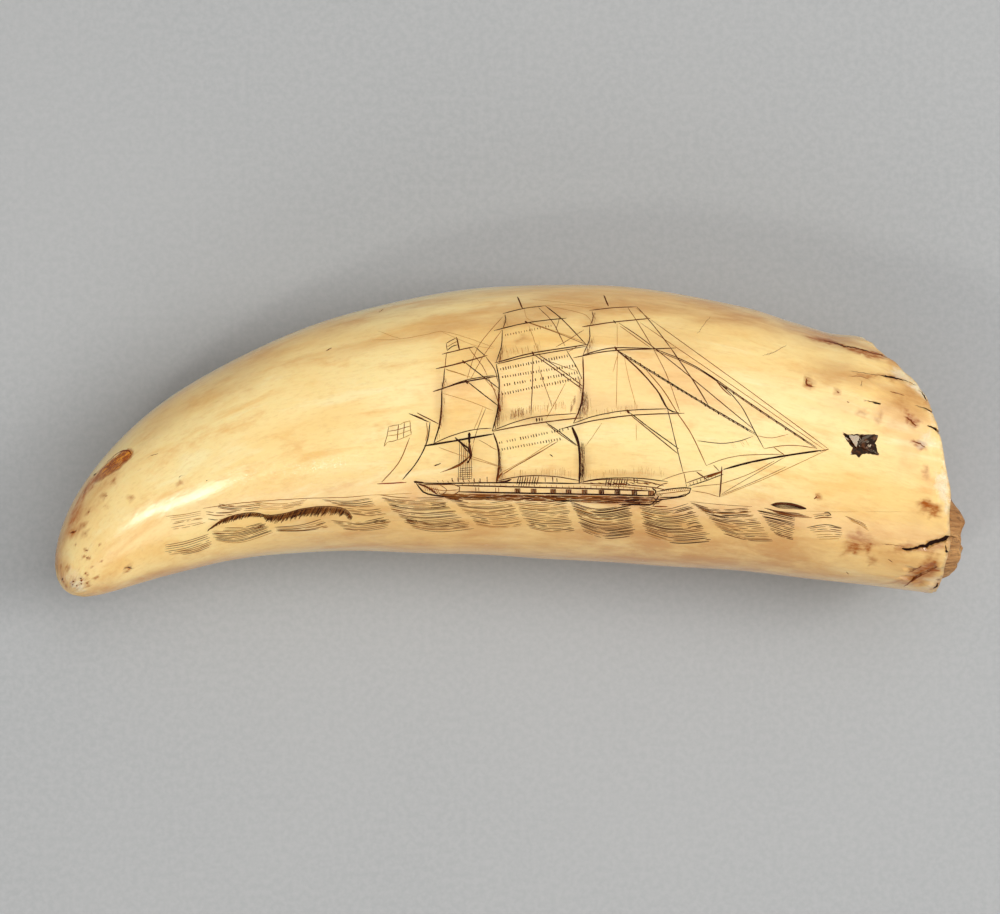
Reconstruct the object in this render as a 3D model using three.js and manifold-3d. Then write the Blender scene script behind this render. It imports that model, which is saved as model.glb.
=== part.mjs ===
// Scrimshaw whale tooth, lying loose on its broad side.
// Millimetres, +Z up. +X runs to the broken root end, the tip is at -X, and the convex edge is +Y.
// The origin is under the middle of the tooth's box, on the surface that it lies on.

import * as THREE from 'three';
import { mergeVertices } from 'three/addons/utils/BufferGeometryUtils.js';
import Module from 'manifold-3d';

// ---------------------------------------------------------------- driving sizes
// curved centreline of the tooth in plan, tip to root (Bezier poles)
const CENTRE_POLES = [[-80.19, -27.32], [-55.62, 9.5], [-1.54, 1.46], [14.04, 10.86], [82.37, -9.28]];
// half width in plan along the centreline: a cubic, rounded off at the tip
const WIDTH_CUBIC = [19.9151, 5.0118, 28.2466, -34.1819];
const TIP_LENGTH = 1.7093;      // in units of the centreline, over which the tip rounding fades
const TIP_POWER = 6.2435;
// the tooth is flatter than it is wide, more so towards the root
const FLATNESS_TIP = 0.92;
const FLATNESS_ROOT = 0.77;
const SECTION_FULLNESS = 0.022; // how far the section's shoulders stand outside an ellipse
// how it lies: the middle plane falls towards the thin tip
const LIE_SLOPE = 0.021;
const LIE_HEIGHT = 18.0;        // height of the middle plane half way along
const ROLL_SLOPE = 0.07;        // the convex edge is a little higher than the concave one
const FLAT_SPOT_DEPTH = 0.7;    // worn flat on the underside
// broken root end
const RIM_WALL = 6.2;           // mean wall thickness at the rim
const RIM_STEP = 3.0;           // how far the inner layer stands past the outer edge, lower side
const RIM_SKEW = 7.3;           // the end slopes back from the concave to the convex edge
const RIM_CORNER = 14.0;        // and a corner is lost at the convex edge
const CAVITY_DEPTH = 52;        // natural pulp hollow in the root
const CAVITY_POWER = 0.72;
// small square pit near the root
const PIT = { at: [64.3, -0.4], size: [6.0, 3.7], turn: -0.07, depth: 1.1 };
// mesh density
const SEGMENTS = 56;
const OUTER_RINGS = 60;
const RIM_RINGS = 5;
const CAVITY_RINGS = 13;

// ---------------------------------------------------------------- centreline
const lerp = (a, b, k) => a + (b - a) * k;
const clamp = (x, a, b) => Math.min(b, Math.max(a, x));
const smooth = (a, b, x) => { const k = clamp((x - a) / (b - a), 0, 1); return k * k * (3 - 2 * k); };

function bezier(poles, t) {
  let row = poles.map(p => p.slice());
  while (row.length > 1) row = row.slice(1).map((p, i) => [lerp(row[i][0], p[0], t), lerp(row[i][1], p[1], t)]);
  return row[0];
}
const TANGENT_POLES = CENTRE_POLES.slice(1).map((p, i) =>
  [(p[0] - CENTRE_POLES[i][0]) * 4, (p[1] - CENTRE_POLES[i][1]) * 4]);

// arc length table, run a little past the root
const TABLE = [];
{
  let s = 0, last = bezier(CENTRE_POLES, 0);
  for (let i = 0; i <= 2000; i++) {
    const t = i / 2000 * 1.04, p = bezier(CENTRE_POLES, t);
    s += Math.hypot(p[0] - last[0], p[1] - last[1]);
    last = p;
    TABLE.push([s, t]);
  }
}
const T_AT = s => {
  let lo = 0, hi = TABLE.length - 1;
  while (hi - lo > 1) { const mid = (lo + hi) >> 1; if (TABLE[mid][0] > s) hi = mid; else lo = mid; }
  const [s0, t0] = TABLE[lo], [s1, t1] = TABLE[hi];
  return lerp(t0, t1, clamp((s - s0) / Math.max(s1 - s0, 1e-9), 0, 1));
};
const LENGTH = TABLE.find(([, t]) => t >= 1)[0];

function station(s) {
  const t = T_AT(s);
  const [x, y] = bezier(CENTRE_POLES, t);
  const [dx, dy] = bezier(TANGENT_POLES, t);
  const n = Math.hypot(dx, dy);
  const [a, b, c, d] = WIDTH_CUBIC;
  const cap = Math.sqrt(clamp(1 - Math.pow(1 - clamp(t / TIP_LENGTH, 0, 1), TIP_POWER), 0, 1));
  const half = (a + b * t + c * t * t + d * t * t * t) * cap;
  const thick = half * lerp(FLATNESS_TIP, FLATNESS_ROOT, smooth(0, 0.75, t));
  const z = LIE_HEIGHT + LIE_SLOPE * (s - LENGTH / 2);
  return { x, y, z, tx: dx / n, ty: dy / n, half, thick };
}

// ---------------------------------------------------------------- the broken root end
// where the outer edge stops, measured along the tooth from the nominal end, by angle round the
// section: 0 is the convex edge, a quarter turn is the upper side, half a turn the concave edge
function rimEnd(angle) {
  const side = Math.cos(angle), top = Math.sin(angle);
  let e = -2.9 - RIM_SKEW * side - RIM_CORNER * Math.pow(clamp((side - 0.47) / 0.53, 0, 1), 2);
  e -= 0.5 * smooth(0.1, -0.4, side) + 3.6 * smooth(-0.5, -1.05, side);                                    // blunted concave corner
  e -= (1.3 + 0.9 * Math.sin(side * 4.4 + 1)) * smooth(0.05, -0.5, top);    // shorter on the underside
  e += 0.30 * Math.sin(angle * 5 + 0.6) + 0.24 * Math.sin(angle * 9 + 2.1) + 0.18 * Math.sin(angle * 14 + 4.0);
  // broken further back over the upper convex side, and a little at the ledge
  e -= 1.65 * Math.exp(13.5 * (Math.cos(angle - 1.19) - 1)) + 0.6 * Math.exp(60 * (Math.cos(angle - 2.08) - 1));
  return e;
}
// the layer inside the outer edge stands out past it on the upper concave side, k across the wall
function rimStep(angle, k) {
  const side = Math.cos(angle), top = Math.sin(angle);
  const here = smooth(-0.08, -0.24, side) * smooth(-0.98, -0.86, side) * smooth(-0.2, 0.2, top);
  return 0.1 + RIM_STEP * here * smooth(0.06, 0.34, k) * smooth(1.1, 0.6, k);
}
const rimWall = angle => RIM_WALL * (1 + 0.16 * Math.cos(angle * 2 + 0.4) + 0.07 * Math.sin(angle * 5));

// a point of the section at s, shrunk by rho and turned to the angle
function place(s, angle, rho = 1, inset = 0) {
  const q = station(s);
  const full = 1 + SECTION_FULLNESS * (1 - Math.cos(4 * angle)) / 2;
  const u = Math.cos(angle) * full * Math.max(q.half - inset, 0) * rho;
  const v = Math.sin(angle) * full * Math.max(q.thick - inset, 0) * rho;
  return [q.x - q.ty * u, q.y + q.tx * u, q.z + v + ROLL_SLOPE * u];
}

// gentle growth ripples keep the wall from being machine-smooth
const ripple = (s, angle) => 0.13 * Math.sin(s / 9.5 + 1.3 * Math.sin(angle)) * Math.sin(angle * 2 + s / 31)
  + 0.07 * Math.sin(s / 4.1 + angle * 3);
// a split flake stands a little proud along the convex edge near the root, after a shallow dip
const flake = (s, angle) => {
  const near = Math.pow(Math.max(Math.cos(angle - 0.1), 0), 6), r = LENGTH - s;
  return near * (0.75 * smooth(30, 24, r) - 0.45 * smooth(44, 36, r) * smooth(24, 31, r));
};

function toothPoint(ring, angle) {
  if (ring <= OUTER_RINGS) {
    // outer wall: close rings at the round tip, then even, leaning over to meet the broken rim
    const g = ring / OUTER_RINGS, f = g * g / (g + 0.13 * (1 - g));
    const s0 = LENGTH * 0.72, full = LENGTH + rimEnd(angle);
    let s = f * LENGTH;
    if (s > s0) s = s0 + (s - s0) / (LENGTH - s0) * (full - s0);
    const fade = smooth(0, 20, s) * (ring === 0 ? 0 : 1);
    return place(s, angle, 1, -(ripple(s, angle) * smooth(LENGTH + 2, LENGTH - 18, s) + flake(s, angle)) * fade);
  }
  const end = LENGTH + rimEnd(angle), wall = rimWall(angle);
  if (ring <= OUTER_RINGS + RIM_RINGS) {
    // across the broken end, from the outer edge to the mouth of the hollow
    const k = (ring - OUTER_RINGS) / RIM_RINGS;
    const out = rimStep(angle, k) + 0.3 * Math.sin(angle * 7 + k * 5) * Math.sin(Math.PI * k);
    return place(end + out, angle, 1, wall * k - flake(end, angle) * (1 - k));
  }
  // hollow: narrows to a blunt point inside
  const k = (ring - OUTER_RINGS - RIM_RINGS) / CAVITY_RINGS;
  const s = lerp(end - 0.2, LENGTH - CAVITY_DEPTH, k);
  const r = Math.pow(1 - k, CAVITY_POWER);
  return place(s, angle, k >= 1 ? 0 : r, lerp(wall, RIM_WALL, k));
}

// ---------------------------------------------------------------- solids
const wasm = await Module();
wasm.setup();

// a lathe of the right rings and segments, each point then moved to its place on the tooth
function turned(rings, segments, point) {
  const profile = [];
  for (let i = 0; i <= rings; i++) {
    const k = i / rings;
    profile.push(new THREE.Vector2(i === 0 || i === rings ? 0 : Math.sin(Math.PI * k), -Math.cos(Math.PI * k)));
  }
  const geometry = new THREE.LatheGeometry(profile, segments);
  const position = geometry.attributes.position;
  for (let j = 0; j <= segments; j++) {
    const angle = (j % segments) / segments * Math.PI * 2;
    for (let i = 0; i <= rings; i++) position.setXYZ(j * (rings + 1) + i, ...point(i, angle));
  }
  return geometry;
}

function toManifold(geometry) {
  const g = geometry.clone();
  g.deleteAttribute('normal');
  g.deleteAttribute('uv');
  const merged = mergeVertices(g, 1e-4);
  const index = merged.index.array, keep = [];
  for (let i = 0; i < index.length; i += 3) {
    const [a, b, c] = [index[i], index[i + 1], index[i + 2]];
    if (a !== b && b !== c && c !== a) keep.push(a, b, c);
  }
  const build = list => new wasm.Manifold(new wasm.Mesh({
    numProp: 3,
    vertProperties: new Float32Array(merged.attributes.position.array),
    triVerts: new Uint32Array(list),
  }));
  const solid = build(keep);
  if (solid.volume() > 0) return solid;
  const flipped = [];
  for (let i = 0; i < keep.length; i += 3) flipped.push(keep[i], keep[i + 2], keep[i + 1]);
  return build(flipped);
}

function toGeometry(manifold) {
  const mesh = manifold.getMesh();
  const geometry = new THREE.BufferGeometry();
  const xyz = new Float32Array(mesh.numVert * 3);
  for (let i = 0; i < mesh.numVert; i++)
    for (let k = 0; k < 3; k++) xyz[i * 3 + k] = mesh.vertProperties[i * mesh.numProp + k];
  geometry.setAttribute('position', new THREE.BufferAttribute(xyz, 3));
  geometry.setIndex(new THREE.BufferAttribute(new Uint32Array(mesh.triVerts), 1));
  return geometry;
}

let tooth = toManifold(turned(OUTER_RINGS + RIM_RINGS + CAVITY_RINGS, SEGMENTS, toothPoint));

// flat spot on the underside
const lowest = tooth.boundingBox().min[2];
{
  const slab = new THREE.BoxGeometry(400, 200, 40);
  slab.translate(0, 0, lowest + FLAT_SPOT_DEPTH - 20);
  tooth = tooth.subtract(toManifold(slab));
}

// square pit cut into the upper side, with sloping walls
{
  const shape = new THREE.Shape();
  const [w, h] = PIT.size;
  [[-0.55, 0.5], [0.5, 0.42], [0.53, -0.55], [-0.28, -0.48]].forEach(([a, b], i) =>
    i ? shape.lineTo(a * w, b * h) : shape.moveTo(a * w, b * h));
  const cutter = new THREE.ExtrudeGeometry(shape, { depth: 12, steps: 1, bevelEnabled: false });
  cutter.rotateZ(PIT.turn);
  // find the surface height under the pit
  let top = -1e9;
  for (let s = LENGTH * 0.75; s < LENGTH; s += 0.25)
    for (let a = 0.1; a < 3.1; a += 0.02) {
      const p = place(s, a);
      if (Math.hypot(p[0] - PIT.at[0], p[1] - PIT.at[1]) < 0.5) top = Math.max(top, p[2]);
    }
  cutter.translate(PIT.at[0], PIT.at[1], top - PIT.depth);
  tooth = tooth.subtract(toManifold(cutter));
}

// drying cracks that open at the broken end: long thin wedges, widest at the rim
function crack(fromRim, length, width, angle, depth) {
  const shape = new THREE.Shape();
  shape.moveTo(-length, 0);
  shape.lineTo(-length * 0.45, width * 0.32);
  shape.lineTo(8, width * 0.5);
  shape.lineTo(8, -width * 0.5);
  shape.lineTo(-length * 0.5, -width * 0.2);
  shape.closePath();
  const wedge = new THREE.ExtrudeGeometry(shape, { depth: depth + 6, steps: 1, bevelEnabled: false });
  const s = LENGTH + rimEnd(angle) - fromRim;
  const p = place(s, angle), q = place(s - length, angle), inner = place(s, angle, 1, 1);
  const along = new THREE.Vector3(p[0] - q[0], p[1] - q[1], p[2] - q[2]).normalize();
  const up = new THREE.Vector3(p[0] - inner[0], p[1] - inner[1], p[2] - inner[2]);
  up.addScaledVector(along, -up.dot(along)).normalize();
  const across = new THREE.Vector3().crossVectors(up, along);
  const matrix = new THREE.Matrix4().makeBasis(along, across, up);
  wedge.translate(0, 0, -depth);
  wedge.applyMatrix4(matrix);
  wedge.translate(p[0], p[1], p[2]);
  return toManifold(wedge);
}
const DEG = Math.PI / 180;
const CRACKS = [
  // fromRim, length, width, angle, depth
  [0, 9.5, 0.75, 124 * DEG, 2.2],
  [0, 11.0, 0.6, 33 * DEG, 1.6],
  [0, 7.0, 0.5, 250 * DEG, 1.8],
  [0, 5.0, 0.5, 318 * DEG, 1.5],
];
for (const c of CRACKS) tooth = tooth.subtract(crack(...c));

const tidy = tooth.simplify ? tooth.simplify(0.002) : tooth;
const geometry = toGeometry(tidy);
geometry.computeBoundingBox();
const box = geometry.boundingBox;
geometry.translate(-(box.min.x + box.max.x) / 2, -(box.min.y + box.max.y) / 2, -box.min.z);

const ivory = new THREE.MeshStandardMaterial({ color: 0xf0d29a, roughness: 0.32, metalness: 0 });
const mesh = new THREE.Mesh(geometry, ivory);
mesh.name = 'tooth';

const object = new THREE.Group();
object.add(mesh);
export default object;
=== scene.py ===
# Scrimshaw whale tooth: the finished surface, engraving and materials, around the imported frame.
import bpy, math
import numpy as np
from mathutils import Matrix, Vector, kdtree
from mathutils.geometry import delaunay_2d_cdt


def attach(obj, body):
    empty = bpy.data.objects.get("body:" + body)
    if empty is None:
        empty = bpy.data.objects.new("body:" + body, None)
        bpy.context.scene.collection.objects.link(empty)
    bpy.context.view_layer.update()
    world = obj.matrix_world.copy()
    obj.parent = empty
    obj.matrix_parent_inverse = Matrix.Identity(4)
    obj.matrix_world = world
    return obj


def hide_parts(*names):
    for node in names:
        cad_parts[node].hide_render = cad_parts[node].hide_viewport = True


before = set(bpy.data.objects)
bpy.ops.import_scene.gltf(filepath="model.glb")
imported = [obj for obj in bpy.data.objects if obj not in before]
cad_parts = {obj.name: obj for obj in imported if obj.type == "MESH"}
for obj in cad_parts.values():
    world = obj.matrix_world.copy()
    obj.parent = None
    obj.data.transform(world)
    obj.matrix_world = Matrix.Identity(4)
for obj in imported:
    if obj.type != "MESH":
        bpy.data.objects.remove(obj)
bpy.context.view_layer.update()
MM = 0.001
rng = np.random.default_rng(11)

# ------------------------------------------------------------------ the tooth's form, as in the CAD (mm)
POLES = np.array([[-80.19, -27.32], [-55.62, 9.5], [-1.54, 1.46], [14.04, 10.86], [82.37, -9.28]])
WIDTH = (19.9151, 5.0118, 28.2466, -34.1819)
TIP_LENGTH, TIP_POWER = 1.7093, 6.2435
FLAT_TIP, FLAT_ROOT = 0.92, 0.77
FULLNESS = 0.022
LIE_SLOPE, LIE_HEIGHT, ROLL = 0.021, 18.0, 0.07
RIM_WALL, RIM_STEP, RIM_SKEW, RIM_CORNER = 6.2, 2.35, 7.3, 14.0
CAVITY_DEPTH, CAVITY_POWER = 52.0, 0.72
SHIFT = np.array([-0.25668, -0.26898, 0.757922])     # from the drawing's frame to the part's frame


def bez(poles, t):
    n = len(poles) - 1
    return sum(math.comb(n, i) * ((1 - t) ** (n - i) * t ** i)[:, None] * poles[i] for i in range(n + 1))


T_TAB = np.linspace(0, 1.06, 6001)
C_TAB = bez(POLES, T_TAB)
D_TAB = bez((POLES[1:] - POLES[:-1]) * 4, T_TAB)
D_TAB /= np.linalg.norm(D_TAB, axis=1)[:, None]
S_TAB = np.concatenate([[0], np.cumsum(np.linalg.norm(np.diff(C_TAB, axis=0), axis=1))])
LENGTH = float(np.interp(1.0, T_TAB, S_TAB))
_cap = np.sqrt(np.clip(1 - (1 - np.clip(T_TAB / TIP_LENGTH, 0, 1)) ** TIP_POWER, 0, 1))
H_TAB = (WIDTH[0] + WIDTH[1] * T_TAB + WIDTH[2] * T_TAB ** 2 + WIDTH[3] * T_TAB ** 3) * _cap


def smooth(a, b, x):
    k = np.clip((np.asarray(x, float) - a) / (b - a), 0, 1)
    return k * k * (3 - 2 * k)


V_TAB = H_TAB * (FLAT_TIP + (FLAT_ROOT - FLAT_TIP) * smooth(0, 0.75, T_TAB))


def rim_end(a):
    side, top = np.cos(a), np.sin(a)
    e = -2.9 - RIM_SKEW * side - RIM_CORNER * np.clip((side - 0.47) / 0.53, 0, 1) ** 2
    e -= 0.5 * smooth(0.1, -0.4, side) + 3.6 * smooth(-0.5, -1.05, side)
    e -= (1.3 + 0.9 * np.sin(side * 4.4 + 1)) * smooth(0.05, -0.5, top)
    e -= 1.65 * np.exp(13.5 * (np.cos(a - 1.19) - 1)) + 0.6 * np.exp(60 * (np.cos(a - 2.08) - 1))
    return e + 0.30 * np.sin(a * 5 + 0.6) + 0.24 * np.sin(a * 9 + 2.1) + 0.18 * np.sin(a * 14 + 4.0)


def rim_step(a, k):
    side, top = np.cos(a), np.sin(a)
    here = smooth(-0.08, -0.24, side) * smooth(-0.99, -0.74, side) * smooth(-0.2, 0.2, top)
    here = here * (1 + 0.13 * np.sin(a * 17 + 0.8) + 0.08 * np.sin(a * 31))
    return 0.1 + RIM_STEP * here * smooth(0.08, 0.25, k) * smooth(1.1, 0.6, k)


def rim_wall(a):
    return RIM_WALL * (1 + 0.16 * np.cos(a * 2 + 0.4) + 0.07 * np.sin(a * 5))


def ripple(s, a):
    return (0.13 * np.sin(s / 9.5 + 1.3 * np.sin(a)) * np.sin(a * 2 + s / 31)
            + 0.07 * np.sin(s / 4.1 + a * 3))


def flake(s, a):
    near = np.maximum(np.cos(a - 0.1), 0) ** 6
    r = LENGTH - s
    return near * (0.75 * smooth(30, 24, r) - 0.45 * smooth(44, 36, r) * smooth(24, 31, r))


def place(s, a, inset=0.0, rho=1.0):
    s = np.asarray(s, float); a = np.asarray(a, float)
    x, y = np.interp(s, S_TAB, C_TAB[:, 0]), np.interp(s, S_TAB, C_TAB[:, 1])
    tx, ty = np.interp(s, S_TAB, D_TAB[:, 0]), np.interp(s, S_TAB, D_TAB[:, 1])
    half, thick = np.interp(s, S_TAB, H_TAB), np.interp(s, S_TAB, V_TAB)
    full = 1 + FULLNESS * (1 - np.cos(4 * a)) / 2
    u = np.cos(a) * full * np.maximum(half - inset, 0) * rho
    v = np.sin(a) * full * np.maximum(thick - inset, 0) * rho
    z = LIE_HEIGHT + LIE_SLOPE * (s - LENGTH / 2) + v + ROLL * u
    return np.stack([x - ty * u, y + tx * u, z], -1) + SHIFT


def skin_lift(s, a):
    fade = smooth(0, 20, s)
    return (ripple(s, a) * smooth(LENGTH + 2, LENGTH - 18, s) + flake(s, a)) * fade


def skin(s, a, extra=0.0):
    """The outer surface, and extra mm inward of it."""
    p = place(s, a, inset=-skin_lift(s, a) + extra)
    p[..., 2] = np.maximum(p[..., 2], 0.0)
    return p


# ------------------------------------------------------------------ the picture's plane
# Picture units are 0.182 mm on the plane of the tooth's widest line, x right and y down, as seen
# from straight above by a camera at this height.
UNIT = 0.182
CAM_H = 900.0
CAM_XY = ((500 - 507) * UNIT + SHIFT[0], (442.5 - 457) * UNIT + SHIFT[1])
WIDE_Z = 19.0


def to_skin(px, py):
    """Picture points to (s, a) on the upper side, through the camera's own view."""
    px, py = np.asarray(px, float), np.asarray(py, float)
    X = (px - 507) * UNIT + SHIFT[0]
    Y = (442.5 - py) * UNIT + SHIFT[1]
    z = np.full(px.shape, 36.0)
    for _ in range(4):
        k = (CAM_H - z) / (CAM_H - WIDE_Z)
        x = CAM_XY[0] + (X - CAM_XY[0]) * k - SHIFT[0]
        y = CAM_XY[1] + (Y - CAM_XY[1]) * k - SHIFT[1]
        p = np.stack([x, y], -1)
        tab = slice(0, len(S_TAB), 20)
        j = ((p[:, None, :] - C_TAB[None, tab, :]) ** 2).sum(-1).argmin(1)
        s = S_TAB[tab][j]
        for _ in range(3):
            c = np.stack([np.interp(s, S_TAB, C_TAB[:, 0]), np.interp(s, S_TAB, C_TAB[:, 1])], -1)
            d = np.stack([np.interp(s, S_TAB, D_TAB[:, 0]), np.interp(s, S_TAB, D_TAB[:, 1])], -1)
            s = s + ((p - c) * d).sum(-1)
        n = np.stack([-d[:, 1], d[:, 0]], -1)
        u = ((p - c) * n).sum(-1)
        half = np.interp(s, S_TAB, H_TAB)
        a = np.full(px.shape, math.pi / 2)
        for _ in range(4):
            full = 1 + FULLNESS * (1 - np.cos(4 * a)) / 2
            a = np.arccos(np.clip(u / (full * (half + skin_lift(s, a))), -0.998, 0.998))
        z = skin(s, a)[..., 2]
    return s, a


# ------------------------------------------------------------------ engraving: lists of strokes
# a stroke is (points in picture units, width in picture units, tone, depth mm, taper)
STROKES = []


def resample(pts, step):
    pts = np.asarray(pts, float)
    seg = np.linalg.norm(np.diff(pts, axis=0), axis=1)
    keep = np.concatenate([[True], seg > 1e-6])
    pts = pts[keep]
    if len(pts) < 2:
        return pts
    d = np.concatenate([[0], np.cumsum(np.linalg.norm(np.diff(pts, axis=0), axis=1))])
    n = max(2, int(math.ceil(d[-1] / step)) + 1)
    q = np.linspace(0, d[-1], n)
    return np.stack([np.interp(q, d, pts[:, 0]), np.interp(q, d, pts[:, 1])], -1)


def spline(pts, n=10):
    """A smooth curve through a few points."""
    p = np.asarray(pts, float)
    if len(p) == 2:
        return p
    p = np.vstack([2 * p[0] - p[1], p, 2 * p[-1] - p[-2]])
    out = []
    for i in range(1, len(p) - 2):
        t = np.linspace(0, 1, n, endpoint=False)[:, None]
        a, b, c, d = p[i - 1], p[i], p[i + 1], p[i + 2]
        out.append(0.5 * ((2 * b) + (c - a) * t + (2 * a - 5 * b + 4 * c - d) * t ** 2 + (3 * b - a - 3 * c + d) * t ** 3))
    out.append(p[-2][None])
    return np.vstack(out)


def cut(pts, w=1.0, tone="dark", wobble=0.12, step=None, taper=1.0, depth=None, curve=True):
    """One engraved stroke through a few points, with the small unsteadiness of a hand-held needle."""
    p = spline(pts) if curve else np.asarray(pts, float)
    length = np.linalg.norm(np.diff(p, axis=0), axis=1).sum()
    p = resample(p, step or min(6.0, max(2.2, length / 6)))
    if len(p) > 2 and wobble:
        d = np.gradient(p, axis=0)
        d /= np.linalg.norm(d, axis=1)[:, None] + 1e-9
        k = np.linspace(0, 1, len(p))
        off = wobble * (np.sin(k * rng.uniform(4, 9) + rng.uniform(0, 6)) * 0.7 + rng.normal(0, 0.35, len(p)))
        off *= np.minimum(1, np.minimum(k, 1 - k) * 6)
        p = p + np.stack([-d[:, 1], d[:, 0]], -1) * off[:, None]
    STROKES.append((p, w, tone, depth, taper))


def dashes(p0, p1, n, length, w, tone, slant=0.0, skip=0.12):
    """A row of reef points: short upright ticks along a line."""
    p0, p1 = np.array(p0, float), np.array(p1, float)
    for i in range(n):
        if rng.random() < 0.4 * skip:
            continue
        k = (i + rng.uniform(-0.1, 0.1)) / (n - 1)
        c = p0 + (p1 - p0) * k
        h = length * rng.uniform(0.7, 1.25)
        cut([c + [-slant * h, -h / 2], c + [slant * h, h / 2]], w * rng.uniform(0.8, 1.2), tone, 0, step=9, curve=False)


def ticks(p, every, length, w, tone):
    """Hanks of a headsail: small beads along a stay."""
    q = resample(spline(p), every)
    for c in q[1:-1]:
        c = c + rng.normal(0, 0.4, 2)
        cut([c + [-0.5, -length / 2], c + [0.5, length / 2]], w, tone, 0, step=9, curve=False)


def shade(edge, side, n, reach, w, tone, turn=0.0, fade=1.0):
    """Fine hatching that leans off an edge into a sail, densest at the edge."""
    q = resample(spline(edge), 0.5)
    for _ in range(n):
        k = rng.random()
        c = q[int(k * (len(q) - 1))]
        r = reach * (0.35 + 0.65 * rng.random()) * (1 - fade * 0.6 * rng.random())
        off = np.array(side, float) * r * rng.random() * 0.8
        d = np.array([math.sin(turn + rng.normal(0, 0.08)), math.cos(turn + rng.normal(0, 0.08))])
        h = rng.uniform(3.5, 8.5)
        a = c + off - d * h * rng.uniform(0.3, 0.7)
        cut([a, a + d * h], w * rng.uniform(0.38, 0.62), tone, 0.05, step=9, curve=False)


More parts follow.
